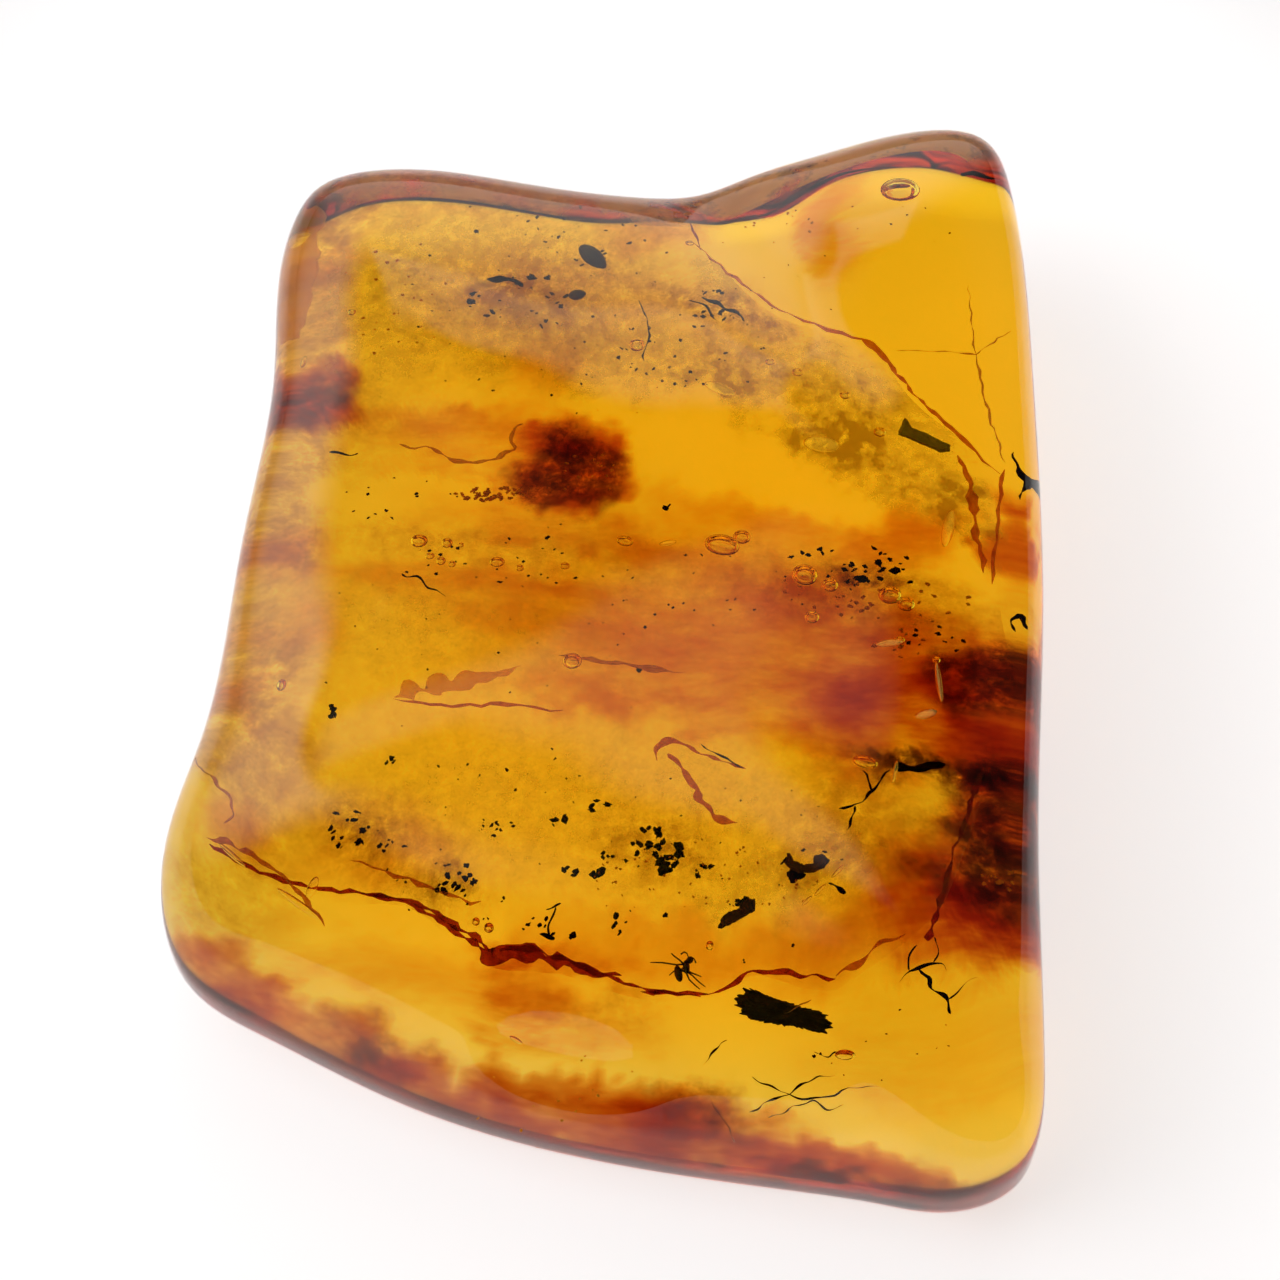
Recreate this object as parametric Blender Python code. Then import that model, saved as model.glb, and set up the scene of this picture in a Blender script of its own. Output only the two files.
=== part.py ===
"""A polished amber nugget with a small insect and scraps of plant sealed in it.

Lengths are given in millimetres and turned to metres as meshes are made. +Z is up, the nugget lies on
its flat underside, and the origin is below the middle of its plan.
"""

import math

import bmesh
import bpy
import numpy as np
from mathutils import Matrix, Vector

MM = 0.001

# The nugget. Each row of the outline is a point of its widest section, with how square its top edge is there
# (2 is round, 8 is nearly a corner), how high its widest level lies, how much of the way out from the
# middle the flat underside reaches, and how far the top has worn down at the edge, as it has along the front.
OUTLINE = (
    (-14.95, 20.85, 4.2, 6.5, 0.85, 0.0),
    (-14.1, 22.4, 4.2, 6.5, 0.85, 0.0),
    (-11.2, 23.55, 4.0, 6.5, 0.85, 0.0),
    (-5.25, 23.1, 3.8, 6.5, 0.85, 0.0),
    (0.4, 22.3, 3.7, 6.5, 0.85, 0.0),
    (4.05, 22.65, 3.7, 6.5, 0.85, 0.0),
    (6.45, 23.45, 3.8, 6.4, 0.86, 0.0),
    (9.55, 24.35, 4.0, 6.3, 0.87, 0.0),
    (14.25, 25.55, 4.6, 6.1, 0.89, 0.0),
    (17.65, 25.1, 5.2, 5.9, 0.91, 0.0),
    (18.85, 21.85, 5.8, 5.7, 0.92, 0.0),
    (19.3, 12.15, 6.6, 5.7, 0.93, 0.0),
    (19.2, 0.65, 6.6, 5.7, 0.93, 0.0),
    (18.5, -10.85, 6.2, 5.2, 0.94, 0.5),
    (18.5, -19.85, 5.0, 4.2, 0.94, 2.0),
    (17.5, -24.1, 4.4, 3.2, 0.94, 3.5),
    (14.5, -25.1, 3.8, 2.4, 0.94, 4.8),
    (11.5, -24.65, 3.4, 2.2, 0.94, 5.3),
    (8.1, -24.1, 3.2, 2.1, 0.94, 5.5),
    (-0.85, -22.65, 3.0, 2.0, 0.94, 5.5),
    (-9.3, -20.05, 3.0, 2.0, 0.94, 5.5),
    (-15.25, -17.1, 3.1, 2.2, 0.93, 5.2),
    (-18.85, -14.6, 3.4, 2.8, 0.92, 4.4),
    (-19.7, -11.0, 3.8, 3.8, 0.90, 2.6),
    (-18.15, -5.6, 4.2, 5.0, 0.88, 1.0),
    (-16.65, 3.65, 4.4, 6.1, 0.85, 0.0),
    (-15.55, 12.15, 4.6, 6.3, 0.85, 0.0),
)
MIDDLE = (1.0, -0.9)
CROWN = 13.7
# How much lower the top lies at its rim than in the middle, and from where on it falls away to a worn side.
DOME = 1.5
SLUMP_START = 0.68
# Shallow places that the polishing left in the top: x, y, reach along, reach across, turn in degrees, depth.
HOLLOWS = (
    (5.5, 19.6, 7.5, 2.8, -62.0, 1.5),
    (-2.0, -20.1, 4.6, 2.0, -12.0, 0.9),
    (-9.0, 3.1, 9.0, 5.5, 20.0, 0.35),
    (8.5, -7.4, 7.0, 5.0, -15.0, 0.4),
    (12.0, 12.1, 6.0, 4.0, 40.0, 0.3),
)
AROUND = 100
# How much of the outline's spacing a turn of one radian uses up.
TURN_WEIGHT = 9.0
CROWN_ANGLES = (10, 19, 27, 34, 40, 46, 52, 59, 67, 76)
FOOT_ANGLES = (18, 36, 54, 72, 90)

# The old flow surface that the insect and the scraps stuck to, where the nugget is parted in two.
FLOW_LEVEL = 8.0
GAP = 0.3
POCKET_ROOM = 0.45

AMBER_COLOUR = (0.90, 0.42, 0.03, 1.0)
INSECT_COLOUR = (0.03, 0.012, 0.008, 1.0)
CHARCOAL_COLOUR = (0.012, 0.011, 0.011, 1.0)
SEED_COLOUR = (0.02, 0.015, 0.012, 1.0)
LEAF_COLOUR = (0.30, 0.33, 0.24, 1.0)
BARK_COLOUR = (0.06, 0.035, 0.02, 1.0)


def clear_scene():
    for old in list(bpy.data.objects):
        bpy.data.objects.remove(old)


def finish(name, colour, roughness, transmission=0.0):
    """A plain material in the piece's colour."""
    material = bpy.data.materials.new(name)
    material.use_nodes = True
    shader = material.node_tree.nodes["Principled BSDF"]
    shader.inputs["Base Color"].default_value = colour
    shader.inputs["Roughness"].default_value = roughness
    shader.inputs["Metallic"].default_value = 0.0
    shader.inputs["Transmission Weight"].default_value = transmission
    shader.inputs["IOR"].default_value = 1.54
    return material


def new_object(name, mesh, material):
    made = bpy.data.objects.new(name, mesh)
    bpy.context.scene.collection.objects.link(made)
    mesh.materials.append(material)
    return made


def object_from_bmesh(name, shape, material, smooth_angle=40.0):
    """The shape in millimetres as an object in metres, shaded smooth."""
    bmesh.ops.recalc_face_normals(shape, faces=shape.faces)
    bmesh.ops.scale(shape, vec=(MM, MM, MM), verts=shape.verts)
    mesh = bpy.data.meshes.new(name)
    shape.to_mesh(mesh)
    shape.free()
    mesh.shade_smooth()
    mesh.set_sharp_from_angle(angle=math.radians(smooth_angle))
    return new_object(name, mesh, material)


def as_helper(made):
    made.hide_render = True
    made.display_type = "WIRE"
    return made


def boolean(target, other, operation):
    cut = target.modifiers.new(other.name, "BOOLEAN")
    cut.operation = operation
    cut.object = other
    cut.solver = "EXACT"


def closed_spline(points, count):
    """`count` rows along the smooth closed curve through `points`, closer together where its plan turns."""
    knots = np.array(points, float)
    after = np.roll(knots, -1, axis=0)
    step = np.linalg.norm((after - knots)[:, :2], axis=1)
    slope = (after - knots) / step[:, None]
    size = len(knots)
    system = np.zeros((size, size))
    for i in range(size):
        system[i, i] = 2 * (step[i - 1] + step[i])
        system[i, i - 1] = step[i - 1]
        system[i, (i + 1) % size] = step[i]
    bend = np.linalg.solve(system, 6 * (slope - np.roll(slope, 1, axis=0)))
    bend_after = np.roll(bend, -1, axis=0)
    starts = np.concatenate([[0], np.cumsum(step)])
    fine = []
    for way in np.linspace(0, starts[-1], 40 * size, endpoint=False):
        i = min(int(np.searchsorted(starts, way, side="right")) - 1, size - 1)
        h, t = step[i], way - starts[i]
        rest = h - t
        curved = (bend[i] * rest**3 + bend_after[i] * t**3) / (6 * h)
        straight = (knots[i] / h - bend[i] * h / 6) * rest + (after[i] / h - bend_after[i] * h / 6) * t
        fine.append(curved + straight)
    fine = np.array(fine)
    sides = np.roll(fine, -1, axis=0) - fine
    heading = np.unwrap(np.arctan2(sides[:, 1], sides[:, 0]))
    turned = np.abs(np.diff(heading, append=heading[-1]))
    way = np.concatenate([[0], np.cumsum(np.hypot(sides[:, 0], sides[:, 1]) + TURN_WEIGHT * turned)])
    looped = np.vstack([fine, fine[:1]])
    stops = np.linspace(0, way[-1], count, endpoint=False)
    return np.stack([np.interp(stops, way, column) for column in looped.T], axis=1)


def crown_height(x, y):
    """Height of the polished top over a point of the plan."""
    height = CROWN
    for cx, cy, along, across, turn, depth in HOLLOWS:
        c, s = math.cos(math.radians(turn)), math.sin(math.radians(turn))
        u = (c * (x - cx) + s * (y - cy)) / along
        v = (c * (y - cy) - s * (x - cx)) / across
        height -= depth * math.exp(-u * u - v * v)
    return height


def nugget_point(row, share, rise):
    """A point above the widest level, `share` of the way out to the outline and `rise` of the way up."""
    x = MIDDLE[0] + (row[0] - MIDDLE[0]) * share
    y = MIDDLE[1] + (row[1] - MIDDLE[1]) * share
    worn = max(share - SLUMP_START, 0.0) / (1 - SLUMP_START)
    top = crown_height(x, y) - DOME * share**2 - row[5] * worn**1.6
    return x, y, row[3] + (top - row[3]) * rise


def nugget_mesh():
    """The whole nugget, closed: rings from the widest level up to the top and down to the foot."""
    shape = bmesh.new()
    outline = closed_spline(OUTLINE, AROUND)
    waist = [shape.verts.new((row[0], row[1], row[3])) for row in outline]

    def band(lower, upper):
        for i in range(AROUND):
            j = (i + 1) % AROUND
            shape.faces.new((lower[i], lower[j], upper[j], upper[i]))

    below = waist
    for angle in CROWN_ANGLES:
        c, s = math.cos(math.radians(angle)), math.sin(math.radians(angle))
        ring = []
        for row in outline:
            reach = (c ** row[2] + s ** row[2]) ** (-1 / row[2])
            ring.append(shape.verts.new(nugget_point(row, reach * c, reach * s)))
        band(below, ring)
        below = ring
    top = shape.verts.new((*MIDDLE, crown_height(*MIDDLE)))
    for i in range(AROUND):
        shape.faces.new((below[i], below[(i + 1) % AROUND], top))

    above = waist
    for angle in FOOT_ANGLES:
        inward = 1 - math.cos(math.radians(angle))
        drop = 1 - math.sin(math.radians(angle))
        ring = []
        for row in outline:
            share = 1 - (1 - row[4]) * inward
            x = MIDDLE[0] + (row[0] - MIDDLE[0]) * share
            y = MIDDLE[1] + (row[1] - MIDDLE[1]) * share
            ring.append(shape.verts.new((x, y, row[3] * drop)))
        band(ring, above)
        above = ring
    shape.faces.new(above)
    return shape


def half_nugget(name, material, keep_above):
    """The nugget cut level at the flow surface, keeping one side and closing the cut."""
    shape = nugget_mesh()
    level = FLOW_LEVEL + (GAP / 2 if keep_above else -GAP / 2)
    cut = bmesh.ops.bisect_plane(
        shape,
        geom=shape.verts[:] + shape.edges[:] + shape.faces[:],
        plane_co=(0, 0, level),
        plane_no=(0, 0, 1),
        clear_outer=not keep_above,
        clear_inner=keep_above,
    )
    rim = [piece for piece in cut["geom_cut"] if isinstance(piece, bmesh.types.BMEdge)]
    bmesh.ops.edgeloop_fill(shape, edges=rim)
    return object_from_bmesh(name, shape, material)


def ball(shape, centre, radii, turn=(0.0, 0.0, 0.0), segments=12, rings=8):
    """Adds an ellipsoid; `turn` is in degrees about X, Y and Z."""
    rotation = Matrix.LocRotScale(Vector(centre), None, None)
    for axis, degrees in zip("XYZ", turn):
        rotation = rotation @ Matrix.Rotation(math.radians(degrees), 4, axis)
    matrix = rotation @ Matrix.Diagonal((*radii, 1.0))
    return bmesh.ops.create_uvsphere(
        shape, u_segments=segments, v_segments=rings, radius=1.0, matrix=matrix
    )["verts"]


def pocket(name, centre, half_size, turn=0.0):
    """The cutter of the room round one inclusion."""
    shape = bmesh.new()
    radii = [size + POCKET_ROOM for size in half_size]
    ball(shape, centre, radii, (0.0, 0.0, turn), segments=14, rings=8)
    return as_helper(object_from_bmesh(name, shape, helper_material))


def limb(name, path, radii, material, sides=6):
    """A jointed tube along `path`, with a radius at each of its points and closed ends."""
    shape = bmesh.new()
    points = [Vector(p) for p in path]
    loops = []
    for i, point in enumerate(points):
        ahead = points[min(i + 1, len(points) - 1)] - points[max(i - 1, 0)]
        turn = ahead.to_track_quat("Z", "Y")
        loop = []
        for k in range(sides):
            angle = 2 * math.pi * k / sides
            offset = Vector((math.cos(angle), math.sin(angle), 0.0)) * radii[i]
            loop.append(shape.verts.new(point + turn @ offset))
        loops.append(loop)
    for first, second in zip(loops, loops[1:]):
        for k in range(sides):
            m = (k + 1) % sides
            shape.faces.new((first[k], first[m], second[m], second[k]))
    shape.faces.new(loops[0])
    shape.faces.new(loops[-1])
    return as_helper(object_from_bmesh(name, shape, material))


# The insect, curled as it died: places are from the middle of its thorax, which is also its own middle.
INSECT_AT = (3.4, -15.8, FLOW_LEVEL)
INSECT_ROOM = ((3.05, -15.95, FLOW_LEVEL), (1.75, 1.25, 0.42))
THORAX = ((0.0, 0.0, 0.0), (0.15, 0.28, 0.16), (0.0, 0.0, 6.0))
HEAD = ((0.14, 0.25, 0.02), (0.17, 0.13, 0.13), (0.0, 0.0, 20.0))
GASTER = ((-0.33, -0.26, -0.02), (0.17, 0.36, 0.17), (0.0, 0.0, 14.0))
NECK = ((0.02, 0.14, 0.0), (0.12, 0.24, 0.01))
WAIST = ((-0.02, -0.16, 0.0), (-0.14, -0.14, 0.0), (-0.30, -0.12, -0.01))
LEG_RADII = (0.040, 0.032, 0.030, 0.022)
LEGS = (
    ((-0.04, 0.14, -0.05), (-0.40, 0.18, -0.16), (-1.02, 0.23, -0.06), (-1.50, 0.27, -0.10)),
    ((-0.06, 0.10, -0.04), (-0.30, 0.22, 0.14), (-0.50, 0.42, 0.02), (-0.62, 0.56, -0.06)),
    ((-0.06, 0.04, -0.06), (-0.26, 0.00, -0.24), (-0.52, -0.06, -0.20), (-0.70, -0.20, -0.24)),
    ((0.06, -0.12, -0.05), (0.22, -0.30, 0.12), (0.44, -0.32, 0.00), (0.64, -0.36, -0.08)),
    ((0.04, -0.16, -0.05), (0.26, -0.42, 0.12), (0.52, -0.62, 0.00), (0.80, -0.80, -0.08)),
    ((0.00, -0.18, -0.07), (0.14, -0.46, -0.14), (0.36, -0.66, -0.18), (0.58, -0.84, -0.20)),
)
FEELER_RADII = (0.026, 0.022, 0.026, 0.034)
FEELERS = (
    ((0.10, 0.32, 0.05), (0.02, 0.46, 0.10), (-0.10, 0.50, 0.12), (-0.24, 0.44, 0.10)),
    ((0.22, 0.28, 0.04), (0.30, 0.30, 0.08), (0.36, 0.22, 0.08), (0.40, 0.12, 0.06)),
)


def insect(material):
    """Head, thorax and gaster with the limbs, all one dried body."""
    place = Matrix.Translation(Vector(INSECT_AT) * MM)
    shape = bmesh.new()
    ball(shape, *THORAX)
    body = object_from_bmesh("insect", shape, material)
    parts = []
    for name, (centre, radii, turn) in (("insect_head", HEAD), ("insect_gaster", GASTER)):
        shape = bmesh.new()
        ball(shape, centre, radii, turn)
        parts.append(as_helper(object_from_bmesh(name, shape, material)))
    parts.append(limb("insect_neck", NECK, (0.08, 0.07), material))
    parts.append(limb("insect_waist", WAIST, (0.08, 0.05, 0.06), material))
    for i, path in enumerate(LEGS):
        parts.append(limb(f"insect_leg_{i + 1}", path, LEG_RADII, material))
    for i, path in enumerate(FEELERS):
        parts.append(limb(f"insect_feeler_{i + 1}", path, FEELER_RADII, material))
    for part in parts:
        boolean(body, part, "UNION")
        part.matrix_world = place
    body.matrix_world = place
    return body


# The seeds: middle, turn in the plan in degrees, and half sizes.
SEED = ((-0.95, 17.65, FLOW_LEVEL), -46.0, (0.88, 0.46, 0.36))
SMALL_SEED = ((-1.65, 15.55, FLOW_LEVEL), 12.0, (0.42, 0.28, 0.22))


def seed_body(name, seed, material):
    """A smooth seed, blunt at one end and slimmer at the other."""
    centre, turn, radii = seed
    shape = bmesh.new()
    for vert in ball(shape, (0, 0, 0), radii, (0.0, 0.0, 0.0), 16, 10):
        slim = 1 - 0.3 * max(0.0, vert.co.x / radii[0]) ** 1.5
        vert.co.y *= slim
        vert.co.z *= slim
    made = object_from_bmesh(name, shape, material)
    made.location = Vector(centre) * MM
    made.rotation_euler = (0.0, 0.0, math.radians(turn))
    return made


# The torn scraps: middle, outline about it, half thickness, how ragged the edge is, and the room round it.
CHARCOAL = (
    (7.45, -17.85, FLOW_LEVEL),
    (
        (-1.91, 0.55), (-1.70, 0.84), (-1.30, 0.88), (-0.76, 0.66), (0.32, 0.29), (1.13, 0.03),
        (1.60, -0.16), (1.76, -0.42), (1.95, -0.66), (1.88, -0.88), (1.40, -0.92), (0.91, -0.75),
        (0.01, -0.55), (-0.70, -0.38), (-1.10, -0.16), (-1.68, -0.03),
    ),
    0.26,
    0.035,
    (2.0, 0.75, 0.3),
    -22.0,
)
LEAF = (
    (13.8, 8.5, FLOW_LEVEL),
    (
        (-0.76, 0.84), (-0.52, 0.36), (0.03, 0.13), (0.63, -0.18), (1.12, -0.46), (1.06, -0.76),
        (0.67, -0.86), (0.30, -0.66), (-0.30, -0.40), (-0.80, -0.18), (-1.10, -0.06), (-1.02, 0.26),
    ),
    0.10,
    0.02,
    (1.3, 0.65, 0.15),
    -36.0,
)
BARK_CRUMB = (
    (5.5, -13.9, FLOW_LEVEL),
    (
        (-0.79, -0.63), (-0.68, -0.25), (-0.38, 0.02), (-0.02, 0.08), (0.28, 0.42), (0.58, 0.63),
        (0.82, 0.56), (0.76, 0.12), (0.36, -0.12), (-0.06, -0.40), (-0.40, -0.48),
    ),
    0.20,
    0.05,
    (1.05, 0.45, 0.22),
    37.0,
)
BARK_SLIVER = (
    (8.55, -11.9, FLOW_LEVEL),
    (
        (-0.82, 0.44), (-0.62, 0.08), (-0.20, -0.16), (0.24, -0.14), (0.26, 0.20), (0.56, 0.28),
        (0.85, 0.02), (0.68, -0.30), (0.08, -0.48), (-0.51, -0.32), (-0.88, 0.02),
    ),
    0.14,
    0.03,
    (1.0, 0.55, 0.18),
    -12.0,
)


def torn_slab(name, scrap, material, seed):
    """A flat scrap: its outline with seeded nicks, thickest half-way up so that its rim is worn."""
    centre, outline, half_height, nick, _, _ = scrap
    chance = np.random.default_rng(seed)
    edge = []
    for first, second in zip(outline, outline[1:] + outline[:1]):
        for share in (0.0, 1 / 3, 2 / 3):
            shift = nick * (2 * chance.random(2) - 1)
            edge.append(Vector(first).lerp(Vector(second), share) + Vector(shift))
    shape = bmesh.new()
    rings = []
    for level, reach in ((-1.0, 0.84), (0.0, 1.0), (1.0, 0.86)):
        rings.append([shape.verts.new((*(p * reach), half_height * level)) for p in edge])
    for lower, upper in zip(rings, rings[1:]):
        for k in range(len(edge)):
            m = (k + 1) % len(edge)
            shape.faces.new((lower[k], lower[m], upper[m], upper[k]))
    shape.faces.new(rings[0])
    shape.faces.new(rings[-1])
    made = object_from_bmesh(name, shape, material, smooth_angle=25.0)
    made.location = Vector(centre) * MM
    return made


clear_scene()
helper_material = finish("helper", (0.5, 0.5, 0.5, 1.0), 0.5)
amber_material = finish("amber", AMBER_COLOUR, 0.03, transmission=1.0)
insect_material = finish("insect_shell", INSECT_COLOUR, 0.3)
charcoal_material = finish("charcoal", CHARCOAL_COLOUR, 0.85)
seed_material = finish("seed_coat", SEED_COLOUR, 0.5)
leaf_material = finish("dry_leaf", LEAF_COLOUR, 0.7)
bark_material = finish("bark", BARK_COLOUR, 0.8)

halves = (
    half_nugget("amber_lower", amber_material, keep_above=False),
    half_nugget("amber_upper", amber_material, keep_above=True),
)
insect(insect_material)
seed_body("seed", SEED, seed_material)
seed_body("small_seed", SMALL_SEED, seed_material)
torn_slab("charcoal_flake", CHARCOAL, charcoal_material, seed=3)
torn_slab("leaf_scrap", LEAF, leaf_material, seed=5)
torn_slab("bark_crumb", BARK_CRUMB, bark_material, seed=8)
torn_slab("bark_sliver", BARK_SLIVER, bark_material, seed=11)

rooms = [pocket("insect_room", *INSECT_ROOM)]
for room_name, (centre, turn, radii) in (("seed_room", SEED), ("small_seed_room", SMALL_SEED)):
    rooms.append(pocket(room_name, centre, radii, turn))
for room_name, (centre, _, _, _, half_size, turn) in (
    ("charcoal_room", CHARCOAL),
    ("leaf_room", LEAF),
    ("bark_crumb_room", BARK_CRUMB),
    ("bark_sliver_room", BARK_SLIVER),
):
    rooms.append(pocket(room_name, centre, half_size, turn))
for half in halves:
    for room in rooms:
        boolean(half, room, "DIFFERENCE")
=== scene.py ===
"""The looks of a polished amber nugget and of what is sealed in it.

Lengths are millimetres in the part's frame, and become metres when a mesh is made. A place given in pixels
is one in the 1280 by 1280 picture.
"""

import math

import bpy
import numpy as np
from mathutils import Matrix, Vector
from mathutils.bvhtree import BVHTree


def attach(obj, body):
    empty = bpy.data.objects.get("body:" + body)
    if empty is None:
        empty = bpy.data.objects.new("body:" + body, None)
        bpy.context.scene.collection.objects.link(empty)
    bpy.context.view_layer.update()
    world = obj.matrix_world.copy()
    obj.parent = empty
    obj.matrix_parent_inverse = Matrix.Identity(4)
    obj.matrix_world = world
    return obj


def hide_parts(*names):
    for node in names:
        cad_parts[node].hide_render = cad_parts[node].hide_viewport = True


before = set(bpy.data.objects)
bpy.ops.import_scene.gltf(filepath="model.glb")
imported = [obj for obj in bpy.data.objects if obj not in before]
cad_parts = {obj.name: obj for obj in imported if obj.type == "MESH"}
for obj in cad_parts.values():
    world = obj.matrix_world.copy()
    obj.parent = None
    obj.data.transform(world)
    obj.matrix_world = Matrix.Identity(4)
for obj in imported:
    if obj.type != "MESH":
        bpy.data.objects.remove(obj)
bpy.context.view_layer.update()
scene = bpy.context.scene

# The camera looks down steeply from the front, as close as a macro lens stands. It comes first because the
# places of things inside the nugget are found by looking through its polished top.
CAMERA_AIM = Vector((1.3, 0.24, 6.0))
CAMERA_RISE = math.radians(64)
CAMERA_BACK = Vector((0.0, -math.cos(CAMERA_RISE), math.sin(CAMERA_RISE)))
CAMERA_DISTANCE = 160.0
CAMERA_LENS = 100.0
SENSOR = 36.0
PICTURE = 1280
FOCAL = CAMERA_LENS / SENSOR * PICTURE

camera_data = bpy.data.cameras.new("camera")
camera_data.lens = CAMERA_LENS
camera_data.sensor_width = SENSOR
camera_data.clip_start = 0.005
camera_data.clip_end = 10.0
camera = bpy.data.objects.new("camera", camera_data)
camera.location = (CAMERA_AIM + CAMERA_BACK * CAMERA_DISTANCE) * 0.001
camera.rotation_euler = CAMERA_BACK.to_track_quat("Z", "Y").to_euler()
scene.collection.objects.link(camera)
scene.camera = camera

# The nugget: one lump of fossil resin, ground flat below, rounded and polished by hand above. Each row is a
# point of the widest section, how square the top edge is there, how high the widest level lies, how much of
# the way out the flat underside reaches, and how far the top has worn down at the edge.
OUTLINE = (
    (-14.95, 20.85, 4.2, 6.5, 0.85, 0.0),
    (-14.1, 22.4, 4.2, 6.5, 0.85, 0.0),
    (-11.2, 23.55, 4.0, 6.5, 0.85, 0.0),
    (-5.25, 23.1, 3.8, 6.5, 0.85, 0.0),
    (0.4, 22.3, 3.7, 6.5, 0.85, 0.0),
    (4.05, 22.65, 3.7, 6.5, 0.85, 0.0),
    (6.45, 23.45, 3.8, 6.4, 0.86, 0.0),
    (9.55, 24.35, 4.0, 6.3, 0.87, 0.0),
    (14.25, 25.55, 4.6, 6.1, 0.89, 0.0),
    (17.65, 25.1, 5.2, 5.9, 0.91, 0.0),
    (18.85, 21.85, 5.8, 5.7, 0.92, 0.0),
    (19.3, 12.15, 6.6, 5.7, 0.93, 0.0),
    (19.2, 0.65, 6.6, 5.7, 0.93, 0.0),
    (18.5, -10.85, 6.2, 5.2, 0.94, 0.5),
    (18.5, -19.85, 5.0, 4.2, 0.94, 2.0),
    (17.5, -24.1, 4.4, 3.2, 0.94, 3.5),
    (14.5, -25.1, 3.8, 2.4, 0.94, 4.8),
    (11.5, -24.65, 3.4, 2.2, 0.94, 5.3),
    (8.1, -24.1, 3.2, 2.1, 0.94, 5.5),
    (-0.85, -22.65, 3.0, 2.0, 0.94, 5.5),
    (-9.3, -20.05, 3.0, 2.0, 0.94, 5.5),
    (-15.25, -17.1, 3.1, 2.2, 0.93, 5.2),
    (-18.85, -14.6, 3.4, 2.8, 0.92, 4.4),
    (-19.7, -11.0, 3.8, 3.8, 0.90, 2.6),
    (-18.15, -5.6, 4.2, 5.0, 0.88, 1.0),
    (-16.65, 3.65, 4.4, 6.1, 0.85, 0.0),
    (-15.55, 12.15, 4.6, 6.3, 0.85, 0.0),
)
MIDDLE = (1.0, -0.9)
CROWN = 13.7
DOME = 1.5
SLUMP_START = 0.68
HOLLOWS = (
    (5.5, 19.6, 7.5, 2.8, -62.0, 1.5),
    (-2.0, -20.1, 4.6, 2.0, -12.0, 0.9),
    (-9.0, 3.1, 9.0, 5.5, 20.0, 0.35),
    (8.5, -7.4, 7.0, 5.0, -15.0, 0.4),
    (12.0, 12.1, 6.0, 4.0, 40.0, 0.3),
)
AROUND = 320
FOOT_RINGS = 26
SIDE_RINGS = 64


def closed_spline(points, count):
    """`count` rows along the smooth closed curve through `points`."""
    knots = np.array(points, float)
    after = np.roll(knots, -1, axis=0)
    step = np.linalg.norm((after - knots)[:, :2], axis=1)
    slope = (after - knots) / step[:, None]
    size = len(knots)
    system = np.zeros((size, size))
    for i in range(size):
        system[i, i] = 2 * (step[i - 1] + step[i])
        system[i, i - 1] = step[i - 1]
        system[i, (i + 1) % size] = step[i]
    bend = np.linalg.solve(system, 6 * (slope - np.roll(slope, 1, axis=0)))
    bend_after = np.roll(bend, -1, axis=0)
    starts = np.concatenate([[0], np.cumsum(step)])
    rows = []
    for way in np.linspace(0, starts[-1], count, endpoint=False):
        i = min(int(np.searchsorted(starts, way, side="right")) - 1, size - 1)
        h, t = step[i], way - starts[i]
        rest = h - t
        curved = (bend[i] * rest**3 + bend_after[i] * t**3) / (6 * h)
        straight = (knots[i] / h - bend[i] * h / 6) * rest + (after[i] / h - bend_after[i] * h / 6) * t
        rows.append(curved + straight)
    return np.array(rows)


def ripple(x, y, width, seed):
    """Smooth seeded unevenness of about -1 to 1, with swells `width` millimetres wide."""
    chance = np.random.default_rng(seed)
    total = np.zeros(np.shape(x))
    for _ in range(9):
        way = chance.uniform(0, 2 * math.pi)
        pace = 2 * math.pi / (width * chance.uniform(0.7, 1.6))
        total += np.sin(pace * (math.cos(way) * x + math.sin(way) * y) + chance.uniform(0, 2 * math.pi))
    return total / 3.2


outline = closed_spline(OUTLINE, AROUND)[::-1]
bearing = np.arctan2(outline[:, 1] - MIDDLE[1], outline[:, 0] - MIDDLE[0])
outline = outline[np.argsort(bearing)]
bearing = np.sort(bearing)
reach = np.hypot(outline[:, 0] - MIDDLE[0], outline[:, 1] - MIDDLE[1])


def edge_below(x, y):
    """For points of the plan: how far out they lie, from 0 to 1, and the outline's other columns there."""
    way = np.arctan2(y - MIDDLE[1], x - MIDDLE[0])
    out = np.hypot(x - MIDDLE[0], y - MIDDLE[1])
    across = [np.interp(way, bearing, column, period=2 * math.pi) for column in (reach, *outline.T[2:])]
    return out / across[0], *across[1:]


def crown_height(x, y, share, slump):
    """Height that the top would have at a point, were its edge not rounded."""
    worn = np.clip(share - SLUMP_START, 0, None) / (1 - SLUMP_START)
    height = CROWN - DOME * share**2 - slump * worn**1.6
    for cx, cy, along, across, turn, depth in HOLLOWS:
        c, s = math.cos(math.radians(turn)), math.sin(math.radians(turn))
        u = (c * (x - cx) + s * (y - cy)) / along
        v = (c * (y - cy) - s * (x - cx)) / across
        height = height - depth * np.exp(-u * u - v * v)
    return height - 0.03 * (1 + ripple(x, y, 7.0, 4))


def top_height(x, y):
    """Height of the nugget's top over points of the plan."""
    share, square, waist, _, slump = edge_below(x, y)
    share = np.clip(share, 0, 1)
    rise = (1 - share**square) ** (1 / square)
    return waist + (crown_height(x, y, share, slump) - waist) * rise


def foot_height(x, y):
    """Height of the nugget's underside over points of the plan."""
    share, _, waist, flat, _ = edge_below(x, y)
    c = np.clip(1 - (1 - np.clip(share, 0, 1)) / (1 - flat), 0, 1)
    return waist * (1 - np.sqrt(1 - c * c))


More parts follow.
